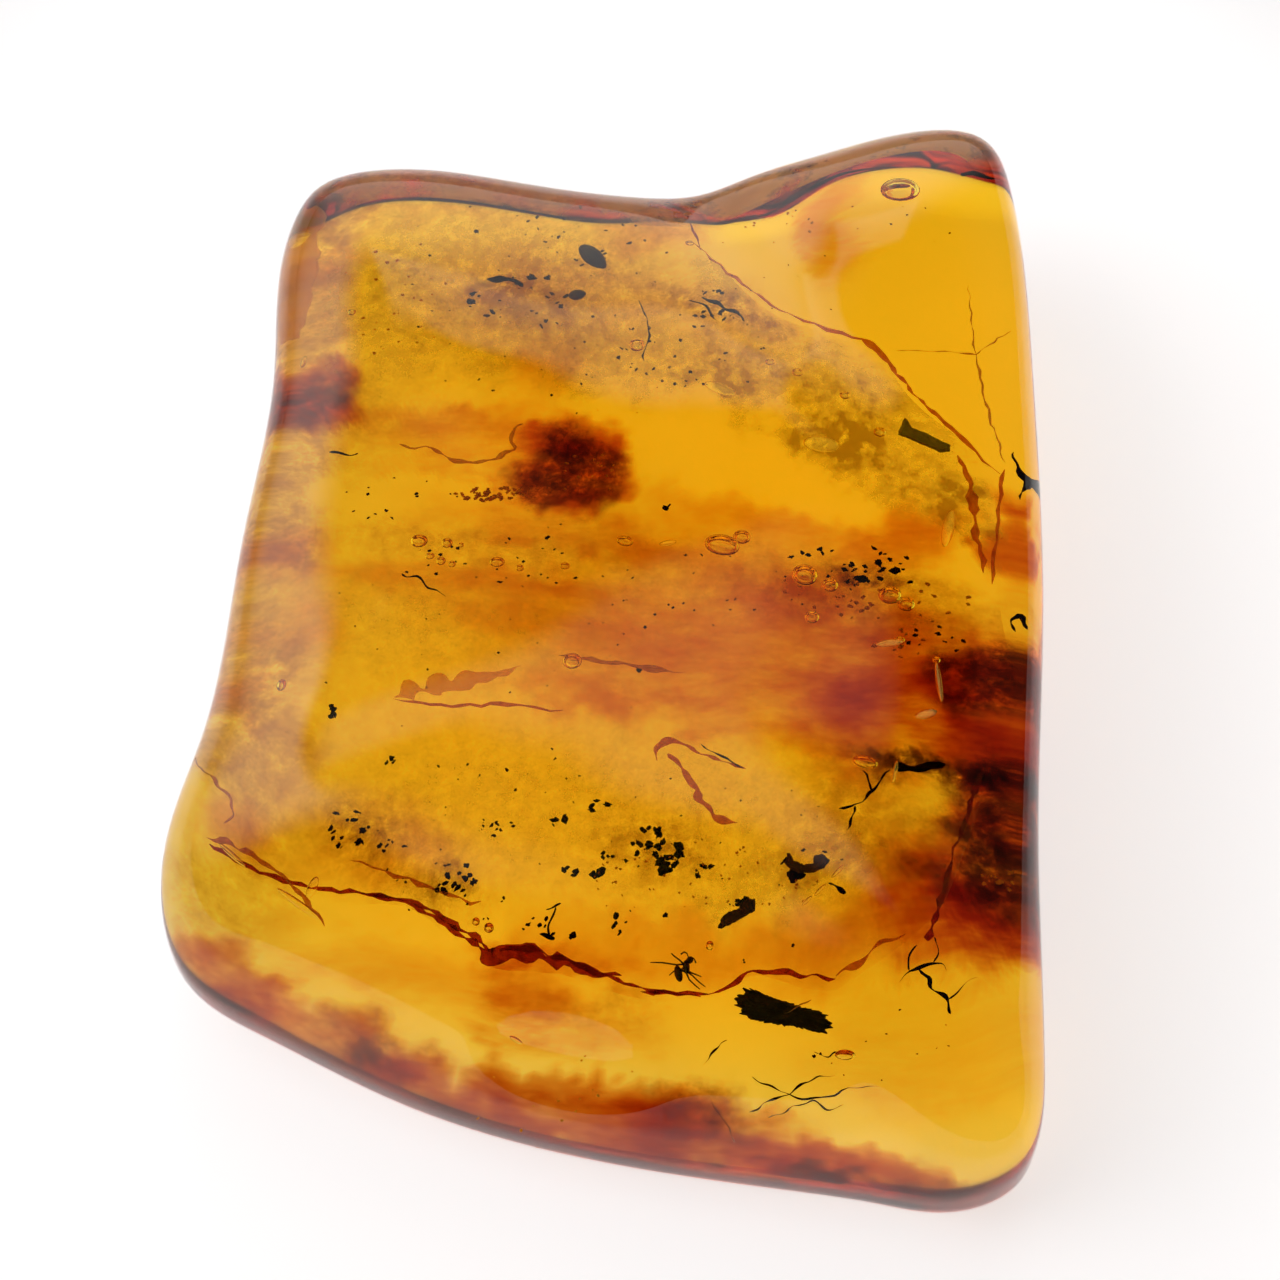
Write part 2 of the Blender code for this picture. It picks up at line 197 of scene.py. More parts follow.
def mesh_object(name, points, faces, material):
    """A smooth mesh object from points in millimetres."""
    mesh = bpy.data.meshes.new(name)
    mesh.from_pydata((np.asarray(points, float) * 0.001).tolist(), [], [tuple(face) for face in faces])
    mesh.shade_smooth()
    mesh.materials.append(material)
    made = bpy.data.objects.new(name, mesh)
    scene.collection.objects.link(made)
    return made


def ring_faces(rings, around, start=0):
    """Quads between rings of points that follow each other, counter-clockwise seen from above."""
    faces = []
    for r in range(rings - 1):
        for i in range(around):
            j = (i + 1) % around
            a, b = start + r * around + i, start + r * around + j
            faces.append((a, b, b + around, a + around))
    return faces


rings = []
for angle in np.radians(np.linspace(90, 4, FOOT_RINGS)):
    share = 1 - (1 - outline[:, 4]) * (1 - math.cos(angle))
    x = MIDDLE[0] + (outline[:, 0] - MIDDLE[0]) * share
    y = MIDDLE[1] + (outline[:, 1] - MIDDLE[1]) * share
    rings.append(np.stack([x, y, outline[:, 3] * (1 - math.sin(angle))], axis=1))
for angle in np.radians(np.linspace(0, 88.5, SIDE_RINGS)):
    c, s = math.cos(angle), math.sin(angle)
    size = (c ** outline[:, 2] + s ** outline[:, 2]) ** (-1 / outline[:, 2])
    share = size * c
    x = MIDDLE[0] + (outline[:, 0] - MIDDLE[0]) * share
    y = MIDDLE[1] + (outline[:, 1] - MIDDLE[1]) * share
    z = outline[:, 3] + (crown_height(x, y, share, outline[:, 5]) - outline[:, 3]) * size * s
    rings.append(np.stack([x, y, z], axis=1))
skin_points = np.concatenate(rings)
summit = len(skin_points)
skin_points = np.vstack([skin_points, [[*MIDDLE, float(crown_height(*np.array(MIDDLE), 0.0, 0.0))]]])
skin_faces = ring_faces(len(rings), AROUND)
last = (len(rings) - 1) * AROUND
skin_faces += [(last + i, last + (i + 1) % AROUND, summit) for i in range(AROUND)]
skin_faces.append(tuple(range(AROUND - 1, -1, -1)))
skin = BVHTree.FromPolygons([Vector(p) for p in skin_points], skin_faces)
INDEX = 1.54


def seen(px, py, level):
    """The place in the nugget that is seen at a pixel, on a level."""
    right = Vector((1.0, 0.0, 0.0))
    up = CAMERA_BACK.cross(right)
    half = PICTURE / 2
    way = (right * (px - half) + up * (half - py)) / FOCAL - CAMERA_BACK
    way.normalize()
    eye = CAMERA_AIM + CAMERA_BACK * CAMERA_DISTANCE
    place, normal, _, _ = skin.ray_cast(eye, way)
    facing = -normal.dot(way)
    bent = way / INDEX + normal * (facing / INDEX - math.sqrt(1 - (1 - facing**2) / INDEX**2))
    return place + bent * ((place.z - level) / -bent.z)


def ball_shape(segments, rows):
    """Points and faces of a unit ball, with a point at each pole."""
    points = [(0.0, 0.0, -1.0)]
    for r in range(1, rows):
        tilt = math.pi * r / rows - math.pi / 2
        for i in range(segments):
            way = 2 * math.pi * i / segments
            points.append((math.cos(tilt) * math.cos(way), math.cos(tilt) * math.sin(way), math.sin(tilt)))
    points.append((0.0, 0.0, 1.0))
    faces = ring_faces(rows - 1, segments, 1)
    top = len(points) - 1
    for i in range(segments):
        j = (i + 1) % segments
        faces.append((0, 1 + j, 1 + i))
        faces.append((top, top - segments + i, top - segments + j))
    return np.array(points), faces


def turned(points, radii, turn, lean, centre):
    """The points scaled by radii, turned by degrees in the plan, leaned till Z follows `lean`, and placed."""
    c, s = math.cos(math.radians(-turn)), math.sin(math.radians(-turn))
    flat = points * np.array(radii)
    flat = np.stack([c * flat[:, 0] - s * flat[:, 1], s * flat[:, 0] + c * flat[:, 1], flat[:, 2]], axis=1)
    spin = np.array(Vector((0, 0, 1)).rotation_difference(Vector(lean)).to_matrix())
    return flat @ spin.T + np.array(centre)


# Gas is sealed in the resin: round bubbles, and thin tilted cracks that glint. Both are hollows of the
# nugget's own mesh, whose faces look into the gas. Each is px, py, level, half sizes in pixels, turn.
# PIXEL is the size of a pixel at the nugget.
PIXEL = 0.0425
UPRIGHT = (0.0, 0.0, 1.0)
CRACK_LEAN = (-0.22, -0.16, 0.96)
CRACK_HALF_GAP = 0.035
BUBBLE_BULGE = 0.75
BUBBLES = (
    (900, 190, 9.6, 20, 15, -8), (805, 575, 9.4, 14, 12, 10), (830, 585, 9.2, 9, 8, 0),
    (812, 617, 9.2, 8, 7, 0), (890, 595, 9.2, 12, 10, 0), (906, 604, 9.0, 9, 8, 0),
    (637, 345, 10.0, 9, 8, 0), (722, 545, 9.3, 18, 12, 10), (742, 537, 9.0, 9, 8, 0),
    (625, 541, 9.4, 9, 6, 10), (419, 541, 9.4, 9, 8, 0), (430, 556, 9.3, 5, 4, 0),
    (441, 561, 9.2, 5, 5, 0), (452, 564, 9.2, 4, 4, 0), (447, 543, 9.3, 6, 6, 0),
    (461, 545, 9.2, 3, 3, 0), (497, 562, 9.3, 8, 6, 0), (520, 568, 9.1, 4, 4, 0),
    (565, 566, 9.2, 5, 4, 0), (281, 685, 8.6, 5, 7, 0), (572, 661, 9.6, 10, 9, 0),
    (865, 762, 8.8, 13, 7, 10), (845, 1055, 7.4, 11, 6, -4), (710, 944, 9.0, 4, 4, 0),
    (489, 927, 8.6, 5, 5, 0), (476, 921, 8.6, 4, 4, 0), (352, 312, 9.0, 4, 4, 0),
    (690, 243, 9.4, 5, 4, 0), (880, 432, 9.4, 7, 6, 0), (845, 395, 9.4, 6, 5, 0),
    (798, 372, 9.4, 6, 5, 0), (770, 362, 9.4, 5, 4, 0), (900, 640, 9.0, 5, 4, 0),
    (937, 660, 9.0, 4, 4, 0),
)
GLINTS = (
    (948, 528, 8.2, 6, 22, 14), (890, 643, 10.4, 15, 4, -4), (939, 682, 10.4, 3, 22, -4),
    (926, 714, 10.4, 12, 5, -14), (720, 388, 9.0, 18, 6, 24), (895, 772, 9.6, 2.5, 13, 14),
    (807, 901, 9.2, 6, 2, -40), (820, 890, 9.2, 7, 2, -42), (838, 871, 9.2, 8, 2, -42),
    (516, 1040, 6.6, 8, 3, 40), (303, 362, 9.0, 3, 7, 10), (668, 543, 9.2, 9, 3, -10),
    (822, 444, 9.0, 20, 9, 10), (312, 888, 8.2, 5, 13, 28), (232, 855, 8.4, 3, 18, -48),
    (300, 905, 7.8, 4, 30, -50),
)
gas_points, gas_faces = ball_shape(18, 11)
for listed, bulge, gap, lean in (
    (BUBBLES, BUBBLE_BULGE, 0.0, UPRIGHT),
    (GLINTS, 0.0, CRACK_HALF_GAP, CRACK_LEAN),
):
    for px, py, level, along, across, turn in listed:
        radii = (along * PIXEL, across * PIXEL, bulge * PIXEL * across + gap)
        hollow = turned(gas_points, radii, turn, lean, seen(px, py, level))
        first = len(skin_points)
        skin_points = np.vstack([skin_points, hollow])
        skin_faces += [tuple(first + i for i in face[::-1]) for face in gas_faces]


def linear(code):
    """Scene colour of an sRGB hex code."""
    values = [int(code[i : i + 2], 16) / 255 for i in (0, 2, 4)]
    return (*[v / 12.92 if v <= 0.04045 else ((v + 0.055) / 1.055) ** 2.4 for v in values], 1.0)


def new_material(name):
    """An empty material."""
    material = bpy.data.materials.new(name)
    material.use_nodes = True
    material.node_tree.nodes.clear()
    return material


def add(material, kind, settings=None, **inputs):
    """Adds a shader node. `settings` are its properties. Inputs are values, or sockets that feed them. An
    input is named, or numbered as in _0."""
    made = material.node_tree.nodes.new("ShaderNode" + kind)
    for name, value in (settings or {}).items():
        setattr(made, name, value)
    for name, value in inputs.items():
        key = int(name[1:]) if name[0] == "_" else name.replace("_", " ")
        socket = made.inputs[key]
        if isinstance(value, bpy.types.NodeSocket):
            material.node_tree.links.new(value, socket)
        else:
            socket.default_value = value
    return made


def math_of(material, operation, *values):
    """The result of a Math node. Each value is a number or a socket."""
    inputs = {f"_{i}": value for i, value in enumerate(values)}
    return add(material, "Math", {"operation": operation}, **inputs).outputs[0]


CLEAR_AMBER = (0.996, 0.876, 0.0, 1.0)
AMBER_DENSITY = 360.0


def resin(name, roughness):
    """Clear fossil resin that swallows blue at once and green over a few millimetres."""
    material = new_material(name)
    shader = add(
        material,
        "BsdfPrincipled",
        Base_Color=(1.0, 1.0, 1.0, 1.0),
        Roughness=roughness,
        IOR=INDEX,
        Transmission_Weight=1.0,
    )
    depth = add(material, "VolumeAbsorption", Color=CLEAR_AMBER, Density=AMBER_DENSITY)
    add(material, "OutputMaterial", Surface=shader.outputs[0], Volume=depth.outputs[0])
    return material


amber = mesh_object("amber", skin_points, skin_faces, resin("fossil_resin", 0.0))
amber.data.materials.append(resin("ground_fossil_resin", 0.12))
for face in amber.data.polygons:
    if len(face.vertices) == AROUND:
        face.use_smooth = False
        face.material_index = 1
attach(amber, "root")
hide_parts("amber_lower", "amber_upper")

# Old flow surfaces inside the nugget. The resin ran down in coats, and each coat's skin gathered dust, froth
# and stain before the next one covered it, so each is a thin uneven sheet with clouds of colour on it.
SHEET = 0.04
SHEET_ROWS = 100
OFF_FOOT = 0.3
OFF_TOP = 0.35
SOFT_EDGE = 1.5


def cloud(x, y, place_of, spots, fray, seed):
    """How dense a stain is over points. A spot is px, py, half sizes in pixels, turn, density, and its edge
    where that isn't soft."""
    wx = x + fray * ripple(x, y, 2.6, seed) + 0.45 * fray * ripple(x, y, 0.8, seed + 1)
    wy = y + fray * ripple(x, y, 2.6, seed + 2) + 0.45 * fray * ripple(x, y, 0.8, seed + 3)
    total = np.zeros(np.shape(x))
    for spot in spots:
        px, py, along, across, turn, density, edge = (*spot, SOFT_EDGE)[:7]
        sx, sy, scale = place_of(px, py)
        c, s = math.cos(math.radians(-turn)), math.sin(math.radians(-turn))
        u = (c * (wx - sx) + s * (wy - sy)) / (along * scale)
        v = (c * (wy - sy) - s * (wx - sx)) / (across * scale)
        total += density * np.exp(-((u * u + v * v) ** edge))
    return total


def on_level(level):
    """Turns a pixel into the place where it is seen on a level, and the size of a pixel there."""
    return lambda px, py: (*seen(px, py, level).xy, PIXEL)


def colour_clouds(piece, x, y, place_of, clouds):
    """Stores the clouds on the piece's points, as one attribute for each kind of stain."""
    for label, (spots, fray, seed) in clouds.items():
        layer = piece.data.attributes.new(label, "FLOAT", "POINT")
        layer.data.foreach_set("value", cloud(x, y, place_of, spots, fray, seed).astype(np.float32))


clear_resin = new_material("clear_resin")
add(clear_resin, "OutputMaterial", Surface=add(clear_resin, "BsdfTransparent").outputs[0])


def closed_sheet(upper, columns, thickness):
    """Points and faces of a thin closed sheet from rows of `columns` points that run round and close."""
    rows = len(upper) // columns
    points = np.concatenate([upper, upper - np.array([0, 0, thickness])])
    count = len(upper)
    top = [face[::-1] for face in ring_faces(rows, columns)]
    faces = top + [tuple(count + i for i in face[::-1]) for face in top]
    faces += [tuple(range(columns)), tuple(count + i for i in range(columns - 1, -1, -1))]
    edge = (rows - 1) * columns
    for i in range(columns):
        j = (i + 1) % columns
        faces.append((edge + j, edge + i, count + edge + i, count + edge + j))
    return points, faces


def clear_below(piece):
    """Leaves the stain on the upper faces of a sheet: light crosses both faces, and is stained once."""
    piece.data.materials.append(clear_resin)
    for face in piece.data.polygons:
        if face.normal.z < 0.05:
            face.material_index = 1


def flow_sheet(name, rim, centre, level, dip, relief, seed, material, clouds):
    """A closed thin sheet inside `rim`, uneven by `relief`, its edge dipping by `dip`."""
    shares = np.linspace(0.02, 1, SHEET_ROWS)
    x = centre[0] + np.outer(shares, rim[:, 0] - centre[0])
    y = centre[1] + np.outer(shares, rim[:, 1] - centre[1])
    z = level - dip * shares[:, None] ** 12 + relief * ripple(x, y, 8.0, seed)
    z = z + 0.2 * relief * ripple(x, y, 1.6, seed + 7)
    z = np.clip(z, foot_height(x, y) + OFF_FOOT, top_height(x, y) - OFF_TOP)
    points, faces = closed_sheet(np.stack([x, y, z], axis=2).reshape(-1, 3), len(rim), SHEET)
    made = mesh_object(name, points, faces, material)
    clear_below(made)
    colour_clouds(made, points[:, 0], points[:, 1], on_level(level), clouds)
    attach(made, "root")


def noise_of(material, place, scale, detail, roughness):
    """The grey value of a noise at a place."""
    made = add(material, "TexNoise", Vector=place, Scale=scale, Detail=detail, Roughness=roughness)
    return made.outputs["Fac"]


def hazy(material, filtered, hazed, cover):
    """Ends a material: light goes through it filtered, and a haze that is lit from both sides covers part."""
    through = add(material, "BsdfTransparent", Color=filtered)
    lit = add(material, "BsdfDiffuse", Color=hazed)
    back = add(material, "BsdfTranslucent", Color=hazed)
    haze = add(material, "MixShader", _0=0.5, _1=lit.outputs[0], _2=back.outputs[0])
    both = add(material, "MixShader", _0=cover, _1=through.outputs[0], _2=haze.outputs[0])
    add(material, "OutputMaterial", Surface=both.outputs[0])


STAINS = (
    ("red", 3.4, (0.5, 1.55, 3.0)),
    ("brown", 5.0, (0.45, 0.75, 1.1)),
    ("dark", 5.5, (1.8, 2.3, 2.6)),
)
MILK_CONTRAST = 4.5
MOST_MILK = 0.9


def stained_material(name, milk_colour, grain, patch):
    """A skin of clear resin with clouds: `milk` hides what lies behind, the STAINS only colour it. Each stain
    has its contrast and how much red, green and blue it takes out."""
    material = new_material(name)
    place = add(material, "TexCoord").outputs["Object"]
    fine = noise_of(material, place, grain, 4.0, 0.68)
    drawn = add(
        material, "Mapping", Vector=place, Rotation=(0.0, 0.0, 0.25), Scale=(0.35, 1.0, 1.0)
    ).outputs[0]
    broad = noise_of(material, drawn, patch, 4.0, 0.65)

    def broken(label, noise, contrast):
        """The cloud `label`, thinned and thickened by a noise."""
        whole = add(material, "Attribute", {"attribute_name": label}).outputs["Fac"]
        uneven = math_of(material, "MULTIPLY_ADD", noise, contrast, 1 - contrast * 0.5)
        return math_of(material, "MULTIPLY", whole, math_of(material, "MAXIMUM", uneven, 0.0))

    loss = (0.0, 0.0, 0.0)
    for label, contrast, taken in STAINS:
        amount = broken(label, broad if label == "red" else fine, contrast)
        weighed = add(material, "VectorMath", {"operation": "SCALE"}, _0=taken, Scale=amount)
        more = add(material, "VectorMath", {"operation": "SUBTRACT"}, _0=loss, _1=weighed.outputs[0])
        loss = more.outputs[0]
    split = add(material, "SeparateXYZ", _0=loss)
    passed = [math_of(material, "EXPONENT", split.outputs[i]) for i in range(3)]
    tint = add(material, "CombineColor", _0=passed[0], _1=passed[1], _2=passed[2]).outputs[0]
    mixed = {"data_type": "RGBA", "blend_type": "MULTIPLY"}
    body = add(material, "Mix", mixed, _0=1.0, _6=linear(milk_colour), _7=tint).outputs[2]
    cover = math_of(material, "MINIMUM", broken("milk", fine, MILK_CONTRAST), MOST_MILK)
    hazy(material, tint, body, cover)
    return material


def rim_inside(level, margin):
    """The nugget's outline drawn in so far that a sheet at that level stays inside it."""
    rim = []
    for row in outline:
        for share in np.linspace(0.995, 0.5, 100):
            x = MIDDLE[0] + (row[0] - MIDDLE[0]) * share
            y = MIDDLE[1] + (row[1] - MIDDLE[1]) * share
            if top_height(x, y) - level > margin and level - foot_height(x, y) > margin:
                break
        rim.append((x, y))
    return np.array(rim)


# The deep coat is an old flow surface in the lower half. It holds the big red and brown clouds.
DEEP = 4.0
deep_material = stained_material("stained_resin_deep", "ffd28a", 1000.0, 420.0)
DEEP_RED = (
    (568, 468, 64, 55, 0, 1.5, 3.0), (450, 425, 90, 20, 4, 0.5), (455, 462, 60, 16, 6, 0.4),
    (310, 398, 44, 38, 0, 1.5, 2.5), (320, 268, 30, 20, 10, 0.4), (540, 380, 40, 40, 0, 0.25),
    (590, 520, 170, 30, 10, 0.25), (760, 640, 210, 70, 12, 0.35), (770, 580, 90, 40, 0, 0.2),
    (800, 640, 60, 60, 0, 0.2), (600, 690, 110, 16, 6, 0.2), (700, 715, 130, 26, 10, 0.25),
    (880, 700, 70, 90, 0, 0.6), (985, 690, 56, 54, 0, 1.6, 2.0), (985, 745, 46, 40, 0, 1.1, 2.0),
    (860, 760, 50, 40, 20, 0.4), (1000, 800, 40, 60, 0, 1.5, 2.0), (985, 880, 56, 60, -10, 1.5, 2.5),
    (925, 890, 30, 60, -25, 0.7), (985, 940, 40, 30, 0, 1.2, 2.0), (1015, 545, 16, 60, 0, 0.9, 2.0),
    (895, 545, 70, 34, -30, 0.45), (828, 225, 26, 60, 8, 0.35, 2.0), (660, 225, 60, 30, 0, 0.2),
    (290, 548, 40, 14, -8, 0.4), (520, 1005, 44, 50, 0, 0.6), (600, 1030, 80, 40, 0, 0.15),
    (245, 700, 16, 40, 0, 0.3), (230, 830, 30, 20, 10, 0.35), (370, 845, 80, 36, 10, 0.2),
    (640, 935, 120, 22, 6, 0.25), (900, 1060, 120, 60, 6, 0.12, 2.0), (420, 980, 200, 40, 16, 0.2),
    (430, 575, 150, 20, 6, 0.3), (560, 610, 170, 34, 8, 0.3), (700, 690, 190, 44, 12, 0.35),
    (600, 540, 120, 20, 10, 0.3), (860, 620, 110, 30, 14, 0.4), (880, 700, 100, 30, 8, 0.5),
    (760, 520, 120, 20, 16, 0.3), (300, 620, 40, 40, 0, 0.25), (860, 930, 100, 30, -20, 0.3),
)
DEEP_BROWN = (
    (560, 300, 110, 80, 10, 0.42), (660, 225, 60, 26, 0, 0.5), (740, 330, 60, 50, 10, 0.25),
    (330, 430, 70, 60, 0, 0.3), (300, 230, 30, 70, 0, 0.35), (250, 700, 44, 150, 0, 0.8),
    (275, 500, 30, 80, 0, 0.7), (285, 300, 30, 160, 0, 0.8), (420, 205, 200, 24, 0, 0.4),
    (640, 560, 300, 40, 10, 0.2), (265, 555, 30, 30, 0, 0.4), (850, 590, 150, 46, 14, 0.3),
    (205, 900, 40, 50, 0, 0.35), (600, 1010, 60, 30, 0, 0.3), (870, 830, 60, 80, 0, 0.35),
)
DEEP_DARK = (
    (572, 470, 54, 48, 0, 0.7, 3.0), (990, 680, 40, 36, 10, 0.85, 2.0), (930, 766, 66, 16, 0, 1.1, 2.0),
    (1000, 840, 40, 80, 0, 0.75, 2.0), (975, 870, 50, 40, 0, 0.4, 2.0), (312, 398, 34, 28, 0, 0.5, 2.0),
    (530, 310, 60, 30, 10, 0.25),
)
DEEP_MILK = (
    (430, 320, 130, 120, 0, 0.1), (560, 620, 330, 90, 4, 0.1), (560, 800, 420, 110, 8, 0.1),
)
deep_clouds = {
    "red": (DEEP_RED, 0.35, 11),
    "brown": (DEEP_BROWN, 0.4, 23),
    "dark": (DEEP_DARK, 0.35, 37),
    "milk": (DEEP_MILK, 0.6, 41),
}
flow_sheet("deep_coat", rim_inside(DEEP, OFF_FOOT), MIDDLE, DEEP, 0.0, 0.35, 51, deep_material, deep_clouds)

# The upper coat is the tongue of cloudy resin that stops at a crooked front on the right and at another
# towards the viewer. Its skin is frothy and gold, with an edge that curls down.
UPPER = 7.2
TONGUE = (
    (325, 225), (420, 200), (560, 215), (690, 240), (735, 280), (790, 316), (868, 340), (905, 385),
    (955, 430), (1000, 475), (996, 590), (1010, 680), (985, 780), (950, 880), (905, 932), (860, 960),
    (836, 978), (794, 971), (747, 970), (718, 985), (640, 984), (560, 965), (480, 948), (425, 906),
    (360, 895), (300, 890), (235, 852), (205, 800), (225, 690), (255, 560), (275, 440), (290, 320),
)
TONGUE_AROUND = 460
tongue_pixels = [tuple(seen(px, py, UPPER).xy) for px, py in TONGUE]
tongue_rim = closed_spline(tongue_pixels, TONGUE_AROUND)[::-1]
tongue_centre = seen(600, 600, UPPER).xy
upper_material = stained_material("frothy_resin", "fff0c0", 1500.0, 500.0)
UPPER_RED = (
    (760, 650, 200, 50, 10, 0.2), (900, 650, 90, 50, 8, 0.3), (560, 955, 75, 12, 8, 0.6, 2.0),
    (900, 545, 60, 28, -30, 0.3, 2.0), (480, 440, 120, 26, 6, 0.25), (800, 940, 130, 26, -8, 0.2),
)
UPPER_BROWN = (
    (570, 275, 100, 50, 10, 0.35), (500, 290, 40, 16, 0, 0.7), (720, 310, 100, 22, 16, 0.5),
    (890, 600, 110, 34, 8, 0.5), (480, 545, 170, 18, 8, 0.35), (655, 850, 60, 36, 10, 0.3),
    (390, 840, 80, 40, 20, 0.4), (850, 830, 60, 90, 0, 0.3),
)
UPPER_DARK = (
    (660, 850, 46, 24, 10, 0.12), (500, 285, 34, 12, 0, 0.2), (865, 572, 40, 12, 10, 0.4),
    (730, 305, 60, 14, 20, 0.2), (445, 880, 40, 16, 20, 0.2), (360, 830, 40, 20, 20, 0.2),
)
UPPER_MILK = (
    (395, 320, 80, 100, 0, 0.3), (500, 260, 190, 70, 4, 0.3), (600, 350, 160, 50, 8, 0.45),
    (830, 390, 150, 50, 20, 0.5), (830, 440, 50, 26, 10, 0.6), (880, 470, 80, 30, 30, 0.45),
    (955, 500, 22, 50, -20, 0.8), (725, 385, 26, 18, 20, 0.7), (715, 275, 30, 20, 0, 0.3),
    (440, 620, 190, 70, 4, 0.2), (600, 810, 330, 90, 8, 0.22), (780, 880, 90, 26, -15, 0.3),
)
upper_clouds = {
    "red": (UPPER_RED, 0.3, 61),
    "brown": (UPPER_BROWN, 0.3, 67),
    "dark": (UPPER_DARK, 0.3, 71),
    "milk": (UPPER_MILK, 0.4, 73),
}
flow_sheet("upper_coat", tongue_rim, tongue_centre, UPPER, 0.9, 0.25, 81, upper_material, upper_clouds)

# The rind: the outermost coat, weathered deep red where the polisher left some of it along the front. It is a
# thin closed shell a little under the skin.
SHELL = 0.05
grid = np.array(rings)
along_grid = np.roll(grid, -1, axis=1) - np.roll(grid, 1, axis=1)
grid_normals = np.cross(along_grid, np.gradient(grid, axis=0))
grid_normals /= np.linalg.norm(grid_normals, axis=2)[:, :, None]


def rim_shell(chosen, low, high, depth):
    """Points and faces of a thin closed shell under the skin, over some rings and bearings of the nugget."""
    outer = (grid - depth * grid_normals)[low:high, chosen]
    inner = (grid - (depth + SHELL) * grid_normals)[low:high, chosen]
    tall, columns = outer.shape[:2]
    count = tall * columns
    faces = []
    for r in range(tall - 1):
        for i in range(columns - 1):
            a, b = r * columns + i, r * columns + i + 1
            faces.append((a, b, b + columns, a + columns))
            faces.append((count + a + columns, count + b + columns, count + b, count + a))
        a, b = r * columns, r * columns + columns - 1
        faces.append((a, a + columns, count + a + columns, count + a))
        faces.append((b + columns, b, count + b, count + b + columns))
    for i in range(columns - 1):
        a = (tall - 1) * columns + i
        faces.append((i + 1, i, count + i, count + i + 1))
        faces.append((a, a + 1, count + a + 1, count + a))
    return np.concatenate([outer.reshape(-1, 3), inner.reshape(-1, 3)]), faces


def pixel_of(points):
    """The pixels at which the camera sees points, were there no amber."""
    up = np.array(CAMERA_BACK.cross(Vector((1.0, 0.0, 0.0))))
    from_aim = points - np.array(CAMERA_AIM)
    away = CAMERA_DISTANCE - from_aim @ np.array(CAMERA_BACK)
    half = PICTURE / 2
    return half + FOCAL * from_aim[:, 0] / away, half - FOCAL * (from_aim @ up) / away


def on_picture(px, py):
    """A pixel's place on the picture in millimetres, and its size there."""
    return PIXEL * px, -PIXEL * py, PIXEL


def rind_piece(name, material, bearings, ring_numbers, depth, clouds):
    """A piece of the rind, between two bearings and two rings of the nugget."""
    chosen = np.flatnonzero((bearing > bearings[0]) & (bearing < bearings[1]))
    points, faces = rim_shell(chosen, *ring_numbers, depth)
    made = mesh_object(name, points, faces, material)
    clear_below(made)
    px, py = pixel_of(points)
    colour_clouds(made, PIXEL * px, -PIXEL * py, on_picture, clouds)
    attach(made, "root")


rind_material = stained_material("stained_rind_and_edge_shade", "c86a20", 420.0, 300.0)
RIND_RED = (
    (230, 975, 60, 34, 32, 1.0, 2.5), (330, 1035, 110, 34, 26, 1.1, 2.5),
    (455, 1085, 80, 26, 20, 0.8, 2.0), (600, 1118, 150, 36, 12, 1.1, 2.5),
    (720, 1135, 120, 40, 14, 1.05, 2.5), (860, 1168, 120, 22, 12, 1.0, 2.5),
)
RIND_BROWN = (
    (370, 1040, 60, 30, 20, 0.6), (700, 1110, 60, 30, 20, 0.6),
)
# The long thin dark spot at 870, 1175 in the next table runs along the bottom of the front edge and is
# painted shade. It stands in for the dark line that the rounded bottom edge shows. The other two dark spots
# are stains.
RIND_DARK_AND_EDGE_SHADE = (
    (385, 1050, 20, 16, 20, 0.4), (700, 1105, 50, 20, 20, 0.3), (870, 1175, 90, 9, 12, 0.5, 2.0),
)
RIND_MILK = (
    (500, 1100, 400, 60, 14, 0.02),
)
rind_clouds = {
    "red": (RIND_RED, 0.35, 91),
    "brown": (RIND_BROWN, 0.35, 93),
    "dark": (RIND_DARK_AND_EDGE_SHADE, 0.35, 95),
    "milk": (RIND_MILK, 0.35, 97),
}
rind_piece("rind", rind_material, (-2.98, -0.6), (14, 60), 0.7, rind_clouds)

# Round the back the same coat is thinner, dull and golden brown.
back_material = stained_material("dull_back_rind", "ffc860", 500.0, 300.0)
BACK_RED = (
    (330, 200, 60, 16, 0, 0.15),
)
BACK_BROWN = (
    (520, 196, 240, 10, 3, 0.25),
)
BACK_DARK = (
    (860, 140, 40, 5, -20, 0.05),
)
BACK_MILK = (
    (440, 190, 200, 26, 3, 0.7, 2.0), (680, 205, 90, 24, 2, 0.7, 2.0), (800, 180, 100, 30, -25, 0.8, 2.0),
    (930, 145, 90, 34, -12, 0.8, 2.0),
)
back_clouds = {
    "red": (BACK_RED, 0.35, 101),
    "brown": (BACK_BROWN, 0.35, 103),
    "dark": (BACK_DARK, 0.35, 105),
    "milk": (BACK_MILK, 0.35, 107),
}
rind_piece("back_rind", back_material, (0.85, 2.55), (16, 57), 0.45, back_clouds)

# Lines in the amber: the seams where one flow of resin stopped against another, the cracks in them, and hairs
# of plant. A seam is a flat ribbon of stained resin, a crack or hair a thin dark thread. Each line is its
# level, its half thickness, and its points as px, py and half width in pixels.
RIBBON_SIDES = 8
STEPS_A_POINT = 6


